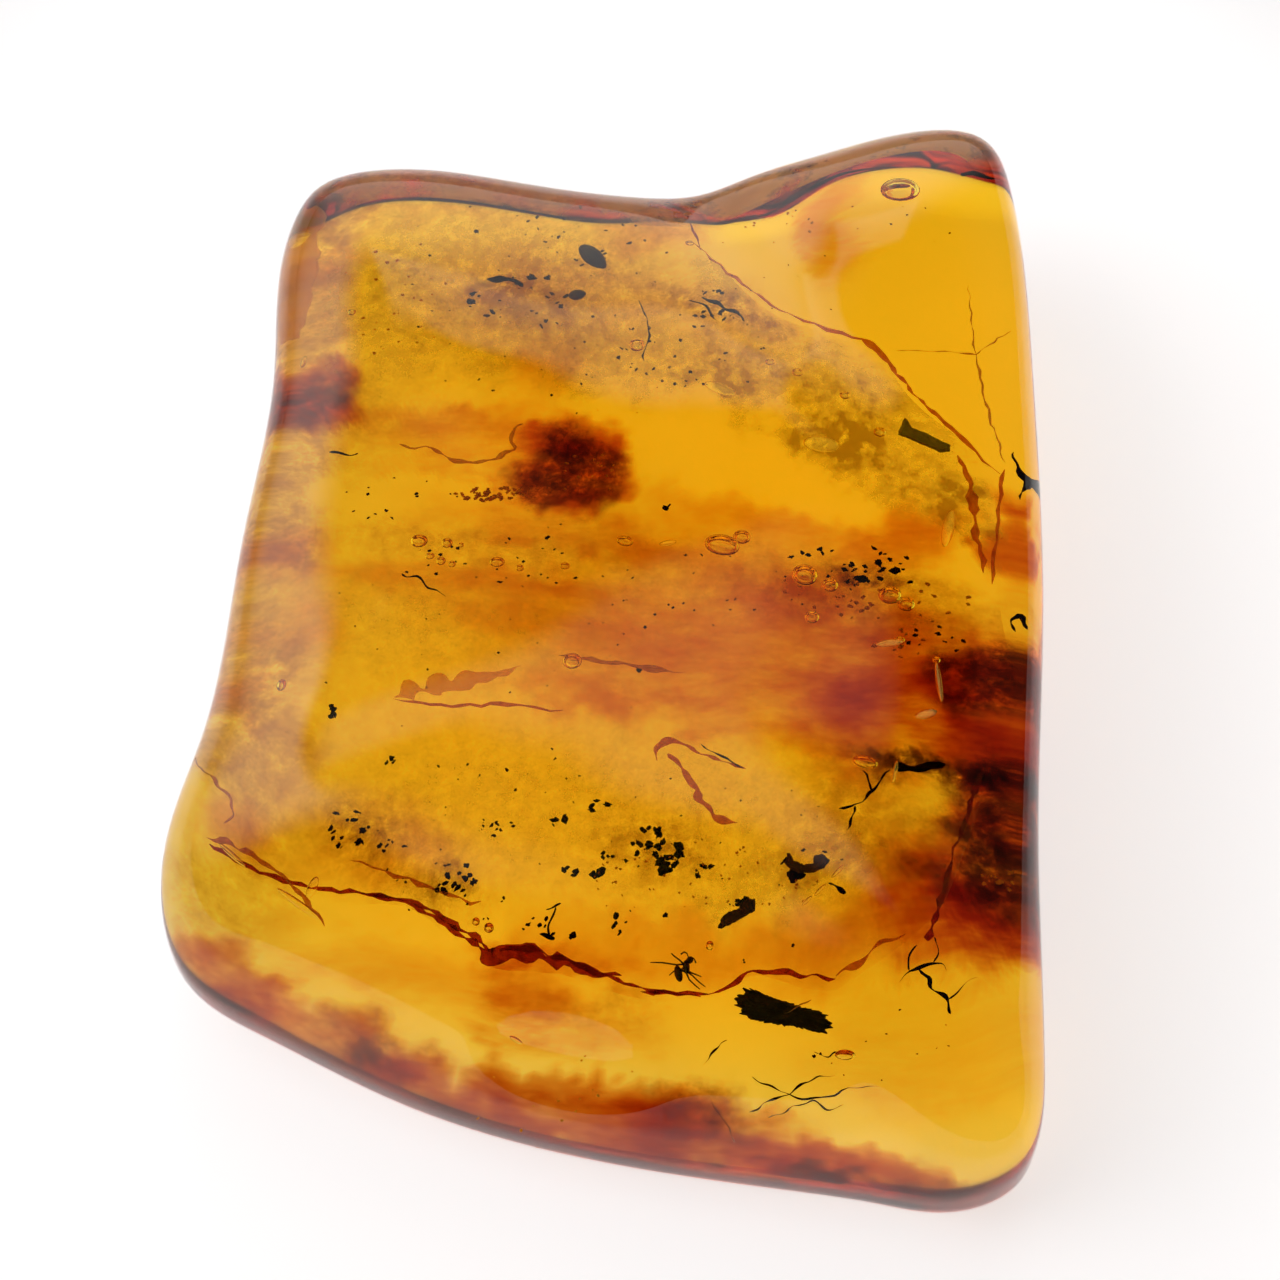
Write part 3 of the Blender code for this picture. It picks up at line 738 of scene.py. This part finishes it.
def ribbon(points, faces, level, thick, path):
    """Adds a closed flat tube along a path, with an uneven width and a slight waver."""
    knots = [seen(px, py, level) for px, py, _ in path]
    numbers = range(len(knots))
    steps = np.linspace(0, len(knots) - 1, STEPS_A_POINT * (len(knots) - 1) + 1)
    line = np.stack([np.interp(steps, numbers, [k[axis] for k in knots]) for axis in range(3)], axis=1)
    smooth = line.copy()
    for _ in range(4):
        smooth[1:-1] = (smooth[:-2] + 2 * smooth[1:-1] + smooth[2:]) / 4
    smooth[:, 0] += 0.07 * ripple(smooth[:, 0], smooth[:, 1], 0.9, 131)
    smooth[:, 1] += 0.07 * ripple(smooth[:, 0], smooth[:, 1], 0.9, 137)
    wide = np.interp(steps, numbers, [half for _, _, half in path]) * PIXEL
    wide *= np.clip(0.8 + 0.55 * ripple(smooth[:, 0], smooth[:, 1], 0.7, 139), 0.25, 1.6)
    wide[0], wide[-1] = 0.3 * wide[0], 0.3 * wide[-1]
    heading = np.gradient(smooth, axis=0)
    heading /= np.linalg.norm(heading, axis=1)[:, None]
    side = np.stack([-heading[:, 1], heading[:, 0], 0 * heading[:, 0]], axis=1)
    first, sides = len(points), RIBBON_SIDES
    for place, across, half in zip(smooth, side, wide):
        for i in range(sides):
            way = 2 * math.pi * i / sides
            rise = np.array([0, 0, min(thick, half) * math.sin(way)])
            points.append(tuple(place + across * half * math.cos(way) + rise))
    for r in range(len(smooth) - 1):
        for i in range(sides):
            j = (i + 1) % sides
            a, b = first + r * sides + i, first + r * sides + j
            faces.append((a, a + sides, b + sides, b))
    last = first + (len(smooth) - 1) * sides
    faces.append(tuple(range(first, first + sides)))
    faces.append(tuple(range(last + sides - 1, last - 1, -1)))


def lines(name, listed, material):
    """One piece made of all the lines listed."""
    points, faces = [], []
    for level, thick, *path in listed:
        ribbon(points, faces, level, thick, path)
    made = mesh_object(name, points, faces, material)
    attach(made, "root")


def resin_line_material(name, dark, light, cover, grain):
    """Stained resin: two colours in a grain filter the light that goes through, under a thin haze."""
    material = new_material(name)
    place = add(material, "TexCoord").outputs["Object"]
    noise = noise_of(material, place, grain, 2.0, 0.5)
    mixed = add(material, "Mix", {"data_type": "RGBA"}, _0=noise, _6=linear(dark), _7=linear(light))
    colours = mixed.outputs[2]
    hazy(material, colours, colours, cover)
    return material


red_seam = resin_line_material("red_seam_resin", "8a2c0c", "f0a060", 0.15, 3500.0)
gold_seam = resin_line_material("gold_seam_resin", "d08838", "ffe0a0", 0.3, 3500.0)
pale_seam = resin_line_material("pale_seam_and_glint_resin", "e0b070", "fff0d0", 0.45, 3000.0)
yellow_seam = resin_line_material("bright_yellow_resin", "ffd850", "fff6b0", 0.3, 3500.0)
dark_thread = resin_line_material("dark_hair", "180a04", "4a2410", 0.6, 4000.0)

RED_SEAMS = (
    (7.5, 0.12, (480, 948, 3), (490, 956, 9), (515, 952, 8), (550, 957, 9), (590, 972, 5), (620, 976, 2)),
    (7.8, 0.1, (500, 950, 2), (530, 948, 3), (560, 957, 3), (600, 974, 3), (650, 992, 2),
     (700, 996, 1.5)),
    (7.5, 0.1, (210, 845, 2), (250, 868, 3), (300, 886, 3), (360, 893, 2), (400, 900, 3), (440, 918, 3),
     (480, 948, 3)),
    (7.9, 0.08, (350, 893, 1), (390, 896, 2), (430, 908, 3), (470, 935, 3), (490, 950, 2)),
    (7.5, 0.06, (640, 992, 2), (712, 995, 2), (735, 984, 2), (747, 974, 3), (774, 970, 2), (800, 974, 2),
     (836, 980, 2)),
    (6.0, 0.08, (985, 770, 2), (968, 810, 3), (950, 870, 2), (936, 920, 3), (930, 940, 2)),
    (5.0, 0.05, (700, 250, 2), (680, 205, 3), (660, 205, 2)),
)
lines("red_seams", RED_SEAMS, red_seam)

GOLD_SEAMS = (
    (7.5, 0.07, (690, 240, 1), (735, 280, 2), (790, 316, 2), (868, 340, 3), (880, 352, 4), (905, 385, 3),
     (930, 410, 2), (955, 430, 2), (1000, 475, 1)),
    (7.5, 0.06, (1003, 470, 1.5), (1000, 520, 2), (992, 585, 1)),
    (7.6, 0.06, (958, 455, 2), (972, 490, 4), (975, 530, 4), (985, 575, 1)),
    (8.4, 0.08, (657, 760, 2), (655, 748, 4), (664, 741, 4), (680, 742, 3), (698, 752, 2), (745, 768, 1)),
    (8.4, 0.1, (668, 752, 3), (680, 765, 4), (690, 778, 5), (700, 792, 4), (703, 805, 4), (716, 818, 4),
     (738, 822, 2)),
    (7.5, 0.06, (836, 978, 2), (848, 970, 3), (860, 958, 2), (880, 940, 2), (905, 932, 1)),
    (8.6, 0.06, (195, 760, 1), (210, 775, 2), (228, 795, 2), (236, 815, 2), (225, 822, 1)),
    (8.6, 0.08, (205, 838, 2), (230, 842, 3), (262, 860, 4), (300, 890, 3), (325, 925, 1)),
    (7.9, 0.05, (395, 700, 1), (450, 706, 2), (510, 703, 2), (560, 712, 1)),
    (7.7, 0.04, (350, 860, 1), (420, 882, 2), (480, 905, 1)),
)
lines("gold_seams", GOLD_SEAMS, gold_seam)

PALE_SEAMS = (
    (8.2, 0.05, (400, 446, 1), (430, 448, 2), (455, 462, 2), (490, 462, 3), (515, 450, 2), (512, 432, 2),
     (524, 424, 1)),
    # The next four lines draw the star-shaped crack at the upper right, which is real. Their pale colour is a
    # painted glint, standing in for the light that the crack catches.
    (10.0, 0.02, (975, 355, 1), (972, 320, 0.7), (968, 285, 0.4)),
    (10.0, 0.02, (975, 355, 1), (940, 352, 0.7), (895, 350, 0.4)),
    (10.0, 0.02, (975, 355, 1), (995, 342, 0.7), (1012, 330, 0.4)),
    (10.0, 0.02, (975, 355, 1), (985, 400, 1.4), (995, 435, 1), (1004, 462, 0.6)),
    (8.6, 0.02, (783, 1013, 0.6), (797, 1006, 1), (811, 1000, 0.6)),
    (4.4, 0.02, (712, 1102, 0.8), (727, 1125, 0.8), (735, 1142, 0.8)),
    (8.6, 0.03, (686, 672, 1), (650, 668, 3), (600, 660, 3), (560, 655, 1)),
)
lines("pale_seams_and_glints", PALE_SEAMS, pale_seam)

YELLOW_STRIP = (
    (7.7, 0.15, (396, 697, 3), (408, 690, 7), (425, 690, 5), (440, 685, 8), (455, 686, 5), (470, 679, 7),
     (490, 676, 4), (522, 668, 1)),
    (6.0, 0.2, (320, 205, 6), (305, 240, 8), (298, 290, 9), (296, 340, 5)),
)
lines("yellow_strip", YELLOW_STRIP, yellow_seam)

DARK_THREADS = (
    (7.9, 0.05, (555, 908, 1.6), (551, 920, 0.8), (548, 936, 0.9)),
    (7.9, 0.08, (545, 908, 2.4), (552, 907, 2), (562, 906, 1.2)),
    (7.9, 0.08, (540, 936, 1.6), (548, 937, 1.8), (553, 938, 1.4)),
    (7.9, 0.04, (402, 573, 2), (415, 578, 1.2), (430, 588, 0.8), (446, 598, 0.5)),
    (7.9, 0.15, (892, 764, 3), (905, 770, 5), (921, 768, 4), (945, 764, 2)),
    (7.9, 0.06, (890, 770, 1.6), (872, 790, 2), (858, 806, 1.6), (838, 808, 1)),
    (7.9, 0.05, (872, 790, 1.2), (868, 775, 1), (862, 770, 0.8)),
    (7.9, 0.05, (858, 806, 1.4), (850, 822, 1), (846, 830, 0.8)),
    (8.6, 0.08, (958, 174, 2), (976, 176, 2.4), (996, 178, 1.6)),
    (8.0, 0.06, (700, 298, 1.4), (712, 303, 2.4), (730, 311, 2), (744, 320, 1)),
    (8.0, 0.06, (690, 300, 1), (702, 306, 1.6), (720, 318, 1)),
    (7.9, 0.08, (486, 280, 2), (505, 278, 3.4), (522, 286, 2)),
    (7.9, 0.04, (640, 300, 0.8), (650, 330, 1.2), (644, 362, 0.6)),
    (7.9, 0.05, (330, 452, 1), (345, 455, 2), (358, 453, 1)),
    (7.9, 0.08, (828, 884, 1.5), (838, 888, 2.5), (848, 890, 1.5)),
    (8.4, 0.04, (700, 745, 0.8), (722, 756, 1), (742, 768, 0.6)),
    (6.2, 0.04, (752, 1078, 0.8), (770, 1086, 1.2), (790, 1096, 1.4), (815, 1100, 1.2), (850, 1088, 1),
     (878, 1086, 0.6)),
    (6.2, 0.04, (750, 1112, 0.8), (768, 1100, 1), (790, 1096, 1.4), (806, 1080, 1), (836, 1074, 0.6)),
    (6.2, 0.04, (770, 1118, 0.6), (785, 1110, 1), (815, 1100, 1.2), (826, 1112, 1), (845, 1106, 0.6)),
    (7.4, 0.04, (900, 985, 0.6), (908, 972, 1), (922, 966, 1.2), (936, 962, 1), (950, 970, 0.6)),
    (7.4, 0.04, (922, 966, 1), (930, 985, 1.2), (946, 1000, 1), (952, 1014, 0.6)),
    (7.4, 0.04, (936, 962, 1), (940, 945, 1), (934, 935, 0.6)),
    (7.4, 0.04, (946, 1000, 1), (962, 990, 0.8), (975, 978, 0.5)),
    (7.4, 0.04, (908, 972, 0.8), (904, 955, 0.8), (915, 945, 0.5)),
    (6.4, 0.04, (705, 1065, 0.6), (712, 1050, 1), (730, 1040, 0.6)),
    (7.0, 0.04, (815, 1052, 0.8), (825, 1058, 1.2), (838, 1052, 0.8)),
    (7.9, 0.1, (1018, 632, 1), (1012, 622, 3), (1024, 615, 3), (1030, 628, 1)),
    (7.9, 0.06, (1016, 452, 1), (1020, 470, 2), (1024, 500, 1)),
)
lines("dark_threads", DARK_THREADS, dark_thread)

# Clots: crumbs of rotten wood, green-grey mould and gold resin grit stuck to the skin of the upper coat. They
# lie in loose groups: px, py, spread, count, smallest, largest, and how much the group is flattened.
CLOT_UNEVENNESS = 0.28
CLOT_BULGE = 0.55


def clots(name, listed, material, level, seed):
    """One piece of uneven flat lumps, each px, py, half sizes in pixels and turn."""
    shape, shape_faces = ball_shape(12, 8)
    chance = np.random.default_rng(seed)
    points, faces = [], []
    for px, py, along, across, turn in listed:
        swell = ripple(shape[:, 0] * 3 + px, shape[:, 1] * 3 + py, 3.0, int(px) + int(py))
        lump = shape * (1 + CLOT_UNEVENNESS * swell)[:, None]
        radii = (along * PIXEL, across * PIXEL, CLOT_BULGE * across * PIXEL)
        place = seen(px, py, level + chance.uniform(0, 0.3))
        first = len(points)
        points += turned(lump, radii, turn, UPRIGHT, place).tolist()
        faces += [tuple(first + i for i in face) for face in shape_faces]
    made = mesh_object(name, points, faces, material)
    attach(made, "root")


def clusters(groups, first_seed):
    """Seeded lumps scattered round pixels, longer than they are wide."""
    made = []
    for seed, (px, py, spread, count, small, large, squeeze) in enumerate(groups, first_seed):
        chance = np.random.default_rng(seed)
        for _ in range(count):
            way, out = chance.uniform(0, 2 * math.pi), spread * math.sqrt(chance.uniform(0, 1))
            size = chance.uniform(small, large)
            place = (px + out * math.cos(way), py + squeeze * out * math.sin(way))
            made.append((*place, size, size * chance.uniform(0.4, 0.9), chance.uniform(-60, 60)))
    return made


green = resin_line_material("green_grey_mould", "2a3220", "66704a", 0.85, 3000.0)
crumbs = resin_line_material("rotten_wood", "160c06", "4a2a14", 0.9, 3500.0)
grit = resin_line_material("gold_grit", "d08a10", "ffd850", 0.8, 4000.0)
GREEN_CLOTS = (
    (658, 845, 26, 16, 2, 6, 0.8), (668, 866, 12, 6, 4, 7, 0.5), (597, 872, 7, 4, 3, 6, 1.0),
    (600, 806, 12, 6, 2, 4, 0.5), (560, 822, 14, 6, 2, 4, 0.5), (612, 858, 16, 5, 2, 4, 0.5),
    (575, 872, 12, 5, 2, 4, 0.5), (640, 668, 3, 3, 2, 4, 1.0), (700, 870, 14, 6, 1.5, 3.5, 0.5),
    (330, 710, 7, 5, 2, 4, 1.0), (390, 760, 7, 4, 1.5, 3.5, 0.5), (620, 922, 8, 5, 1.5, 3.5, 1.0),
    (500, 790, 90, 12, 1, 2, 0.5), (744, 903, 7, 5, 2, 4, 1.0),
)
clots("green_clots", clusters(GREEN_CLOTS, 1), green, 7.45, 11)

WOOD_CRUMBS = (
    (352, 828, 26, 14, 1.5, 4, 0.8), (390, 846, 16, 8, 1.5, 3, 0.5), (452, 880, 26, 16, 1.5, 4, 0.7),
    (500, 830, 20, 7, 1.5, 3, 0.5), (545, 925, 22, 6, 1.5, 3, 0.5), (578, 934, 8, 3, 2, 4, 0.5),
    (507, 770, 1, 1, 2.5, 3, 0.5), (667, 507, 3, 2, 2, 4, 0.5), (520, 300, 60, 26, 1.5, 5, 0.5),
    (500, 560, 110, 26, 1, 2.6, 0.25), (850, 570, 70, 30, 1.5, 4, 0.35), (870, 572, 26, 10, 3, 6, 0.4),
    (730, 310, 50, 20, 1, 3, 0.5), (560, 240, 90, 22, 1, 3, 0.4), (640, 340, 60, 14, 1, 2.4, 0.5),
    (690, 370, 50, 14, 1, 2.6, 0.5), (810, 860, 30, 8, 2, 4, 0.4), (794, 875, 3, 2, 6, 8, 0.5),
    (820, 1056, 8, 4, 1, 2.4, 0.5), (700, 590, 140, 20, 1, 2, 0.3), (400, 500, 60, 14, 1, 2.4, 0.4),
    (665, 916, 2, 1, 2, 3, 0.5), (744, 961, 3, 2, 1, 2, 0.5), (792, 948, 2, 1, 1.5, 2, 0.5),
    (935, 640, 30, 10, 1.5, 3, 0.5), (600, 300, 240, 60, 0.8, 1.8, 0.5),
    (560, 640, 260, 40, 0.7, 1.5, 0.5), (600, 850, 280, 50, 0.7, 1.6, 0.3),
    (870, 230, 90, 12, 0.7, 1.4, 0.5), (880, 1050, 90, 10, 0.7, 1.4, 0.5),
)
clots("wood_crumbs", clusters(WOOD_CRUMBS, 21), crumbs, 7.5, 11)

GOLD_GRIT = (
    (488, 494, 34, 34, 2, 4, 0.2), (590, 480, 34, 14, 1, 2.2, 0.9), (900, 600, 70, 24, 1.5, 3.5, 0.4),
    (700, 880, 120, 60, 0.8, 1.8, 0.35), (1000, 880, 18, 9, 1.5, 4, 0.7), (900, 645, 30, 10, 1.5, 3, 0.5),
    (600, 1080, 120, 14, 1, 2, 0.4), (840, 590, 60, 16, 1, 3, 0.4), (780, 230, 40, 8, 1, 2, 0.5),
    (400, 300, 60, 30, 0.8, 2, 1.0),
)
clots("gold_grit", clusters(GOLD_GRIT, 61), grit, 7.6, 9)


# The insect and the scraps of plant keep their modelled shapes and get the looks of the real stuff, dried in
# the resin. The charcoal flake alone gets a new shape.
def dry_material(name, dark, light, roughness, grain, bump):
    """Dried plant or shell: two close colours in a grain, with a rough surface."""
    material = new_material(name)
    place = add(material, "TexCoord").outputs["Object"]
    noise = noise_of(material, place, grain, 6.0, 0.65)
    colours = add(material, "Mix", {"data_type": "RGBA"}, _0=noise, _6=linear(dark), _7=linear(light))
    uneven = add(material, "Bump", Strength=bump, Distance=0.0001, Height=noise)
    shader = add(
        material,
        "BsdfPrincipled",
        Base_Color=colours.outputs[2],
        Roughness=roughness,
        Normal=uneven.outputs[0],
    )
    add(material, "OutputMaterial", Surface=shader.outputs[0])
    return material


# The charcoal flake breaks along its grain, so its rim is ragged and its faces are stepped.
FLAKE = (
    (738, 995), (748, 990), (765, 995), (791, 1003), (811, 1009), (822, 1012), (831, 1025), (829, 1031),
    (817, 1032), (805, 1029), (783, 1025), (766, 1022), (743, 1014),
)
FLAKE_LEVEL = 8.0
FLAKE_AROUND = 144
FLAKE_RINGS = 10
flake_pixels = [tuple(seen(px, py, FLAKE_LEVEL).xy) for px, py in FLAKE]
flake_rim = closed_spline(flake_pixels, FLAKE_AROUND)[::-1]
flake_centre = flake_rim.mean(axis=0)
rim_x, rim_y = flake_rim.T
ragged = 1 + 0.06 * ripple(rim_x, rim_y, 0.35, 151) + 0.05 * ripple(rim_x, rim_y, 0.14, 153)
flake_rim = flake_centre + (flake_rim - flake_centre) * ragged[:, None]
flake_layers = []
outwards = np.linspace(0.05, 1, FLAKE_RINGS)
inwards = np.linspace(1, 0.05, FLAKE_RINGS)
for side, shares in ((-1, outwards), (1, inwards)):
    for share in shares:
        x, y = (flake_centre + (flake_rim - flake_centre) * share).T
        steps = np.round(3 * ripple(x * 0.5, y * 2.0, 0.5, 157 + side)) / 3
        z = FLAKE_LEVEL + side * (0.03 + 0.17 * (1 - share**3) * (1 + 0.3 * steps))
        flake_layers.append(np.stack([x, y, z], axis=1))
flake_faces = ring_faces(len(flake_layers), FLAKE_AROUND)
flake_faces.append(tuple(range(FLAKE_AROUND - 1, -1, -1)))
flake_end = (len(flake_layers) - 1) * FLAKE_AROUND
flake_faces.append(tuple(range(flake_end, flake_end + FLAKE_AROUND)))
charcoal = dry_material("charred_wood", "040404", "1c1a1b", 0.7, 6000.0, 0.8)
flake = mesh_object("charcoal", np.concatenate(flake_layers), flake_faces, charcoal)
for face in flake.data.polygons:
    face.use_smooth = False
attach(flake, "root")
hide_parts("charcoal_flake")

looks = {
    "insect": ("insect_shell", dry_material("dried_insect_shell", "120a06", "2a150a", 0.35, 9000.0, 0.4)),
    "seed": ("seed_coat", dry_material("dark_seed_coat", "14100e", "261c14", 0.5, 4000.0, 0.3)),
    "small_seed": ("seed_coat", dry_material("brown_seed_coat", "2a1a10", "4a2c18", 0.5, 4000.0, 0.3)),
    "leaf_scrap": ("dry_leaf", dry_material("dried_leaf", "6f7654", "a8a878", 0.7, 4000.0, 0.6)),
    "bark_crumb": ("bark", dry_material("old_bark", "20140c", "4a3018", 0.8, 4000.0, 0.8)),
    "bark_sliver": ("bark", dry_material("old_bark_light", "2a1a10", "5a3a1c", 0.8, 4000.0, 0.8)),
}
for name, (slot, material) in looks.items():
    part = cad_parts[name]
    part.data.materials.clear()
    part.data.materials.append(material)

# The sheet of white paper under the nugget. It gives off light in a pool round the nugget, and that light
# comes up through the amber. POOL is where the pool starts to fade and where it ends, in metres.
PAPER_REACH = 900.0
PAPER_TOP = -0.05
POOL = (0.042, 0.08)
POOL_LIGHT = (0.7, 0.15)
paper = new_material("white_paper")
paper.cycles.emission_sampling = "NONE"
paper_place = add(paper, "TexCoord").outputs["Object"]
from_middle = add(paper, "VectorMath", {"operation": "LENGTH"}, _0=paper_place)
pool = add(
    paper,
    "MapRange",
    {"interpolation_type": "SMOOTHSTEP"},
    _0=from_middle.outputs["Value"],
    _1=POOL[0],
    _2=POOL[1],
    _3=POOL_LIGHT[0],
    _4=POOL_LIGHT[1],
)
paper_shader = add(
    paper,
    "BsdfPrincipled",
    Base_Color=(0.9, 0.895, 0.9, 1.0),
    Roughness=0.9,
    Specular_IOR_Level=0.1,
    Emission_Color=(1.0, 0.98, 0.97, 1.0),
    Emission_Strength=pool.outputs[0],
)
add(paper, "OutputMaterial", Surface=paper_shader.outputs[0])
corners = ((-1, -1), (1, -1), (1, 1), (-1, 1))
paper_points = [(PAPER_REACH * x, PAPER_REACH * y, PAPER_TOP) for x, y in corners]
floor = mesh_object("floor", paper_points, [(0, 1, 2, 3)], paper)

# The studio: a wide soft lamp at the upper left and a bright wall behind. The sky is dim where the flat top
# mirrors it and in front, so that one sees into the amber, with two faint panels that draw veils on the top.
MIRRORED = (0.0, math.cos(CAMERA_RISE), math.sin(CAMERA_RISE))
TO_THE_RIGHT = (1.0, 0.0, 0.0)
UP_THE_PICTURE = (0.0, 0.899, -0.438)
world = bpy.data.worlds.new("studio")
scene.world = world
world.use_nodes = True
world.cycles.sampling_method = "NONE"
world.node_tree.nodes.clear()
towards = add(world, "TexCoord").outputs["Generated"]


def facing(direction):
    """How far the sky's place lies in a direction, as a cosine."""
    made = add(world, "VectorMath", {"operation": "DOT_PRODUCT"}, _0=towards, _1=direction)
    return made.outputs["Value"]


def soft_step(value, first, last, reached=1.0):
    """Rises smoothly from 0 at the first value to `reached` at the last."""
    smooth = {"interpolation_type": "SMOOTHSTEP"}
    return add(world, "MapRange", smooth, _0=value, _1=first, _2=last, _3=0.0, _4=reached).outputs[0]


def glow(direction, full, none, strength, before):
    """Adds light around a direction to what was before: full inside one angle, none beyond the other."""
    cosine = facing(Vector(direction).normalized())
    edges = math.cos(math.radians(none)), math.cos(math.radians(full))
    return math_of(world, "ADD", before, soft_step(cosine, *edges, strength))


def window(across, along, soft, strength, before):
    """Adds a soft-edged panel near the mirrored direction: its reach to the right and upwards, in cosines."""
    sides = []
    for axis, (low, high) in ((TO_THE_RIGHT, across), (UP_THE_PICTURE, along)):
        cosine = facing(axis)
        sides += [soft_step(cosine, low - soft, low + soft), soft_step(cosine, high + soft, high - soft)]
    amount = math_of(world, "GREATER_THAN", facing(MIRRORED), 0.0)
    for side in sides:
        amount = math_of(world, "MULTIPLY", amount, side)
    return math_of(world, "MULTIPLY_ADD", amount, strength, before)


lamp = glow((-0.72, 0.28, 0.64), 12, 50, 1.9, 0.03)
not_mirrored = glow(MIRRORED, 30, 42, -0.95, 1.0)
not_in_front = glow((0.0, -1.0, 0.3), 30, 70, -0.85, 1.0)
lit = math_of(world, "MULTIPLY", lamp, not_mirrored)
lit = math_of(world, "MULTIPLY", lit, not_in_front)
lit = glow((0.0, 1.0, 0.1), 20, 46, 1.3, lit)
lit = window((-0.45, 0.2), (-0.27, -0.02), 0.07, 0.55, lit)
lit = window((-0.35, 0.2), (0.2, 0.42), 0.03, 0.8, lit)
background = add(world, "Background", Color=(1.0, 0.985, 0.99, 1.0), Strength=lit)
add(world, "OutputWorld", Surface=background.outputs[0])

scene.view_settings.view_transform = "Standard"
scene.cycles.max_bounces = 12
scene.cycles.transmission_bounces = 12
scene.cycles.diffuse_bounces = 3
scene.cycles.transparent_max_bounces = 64
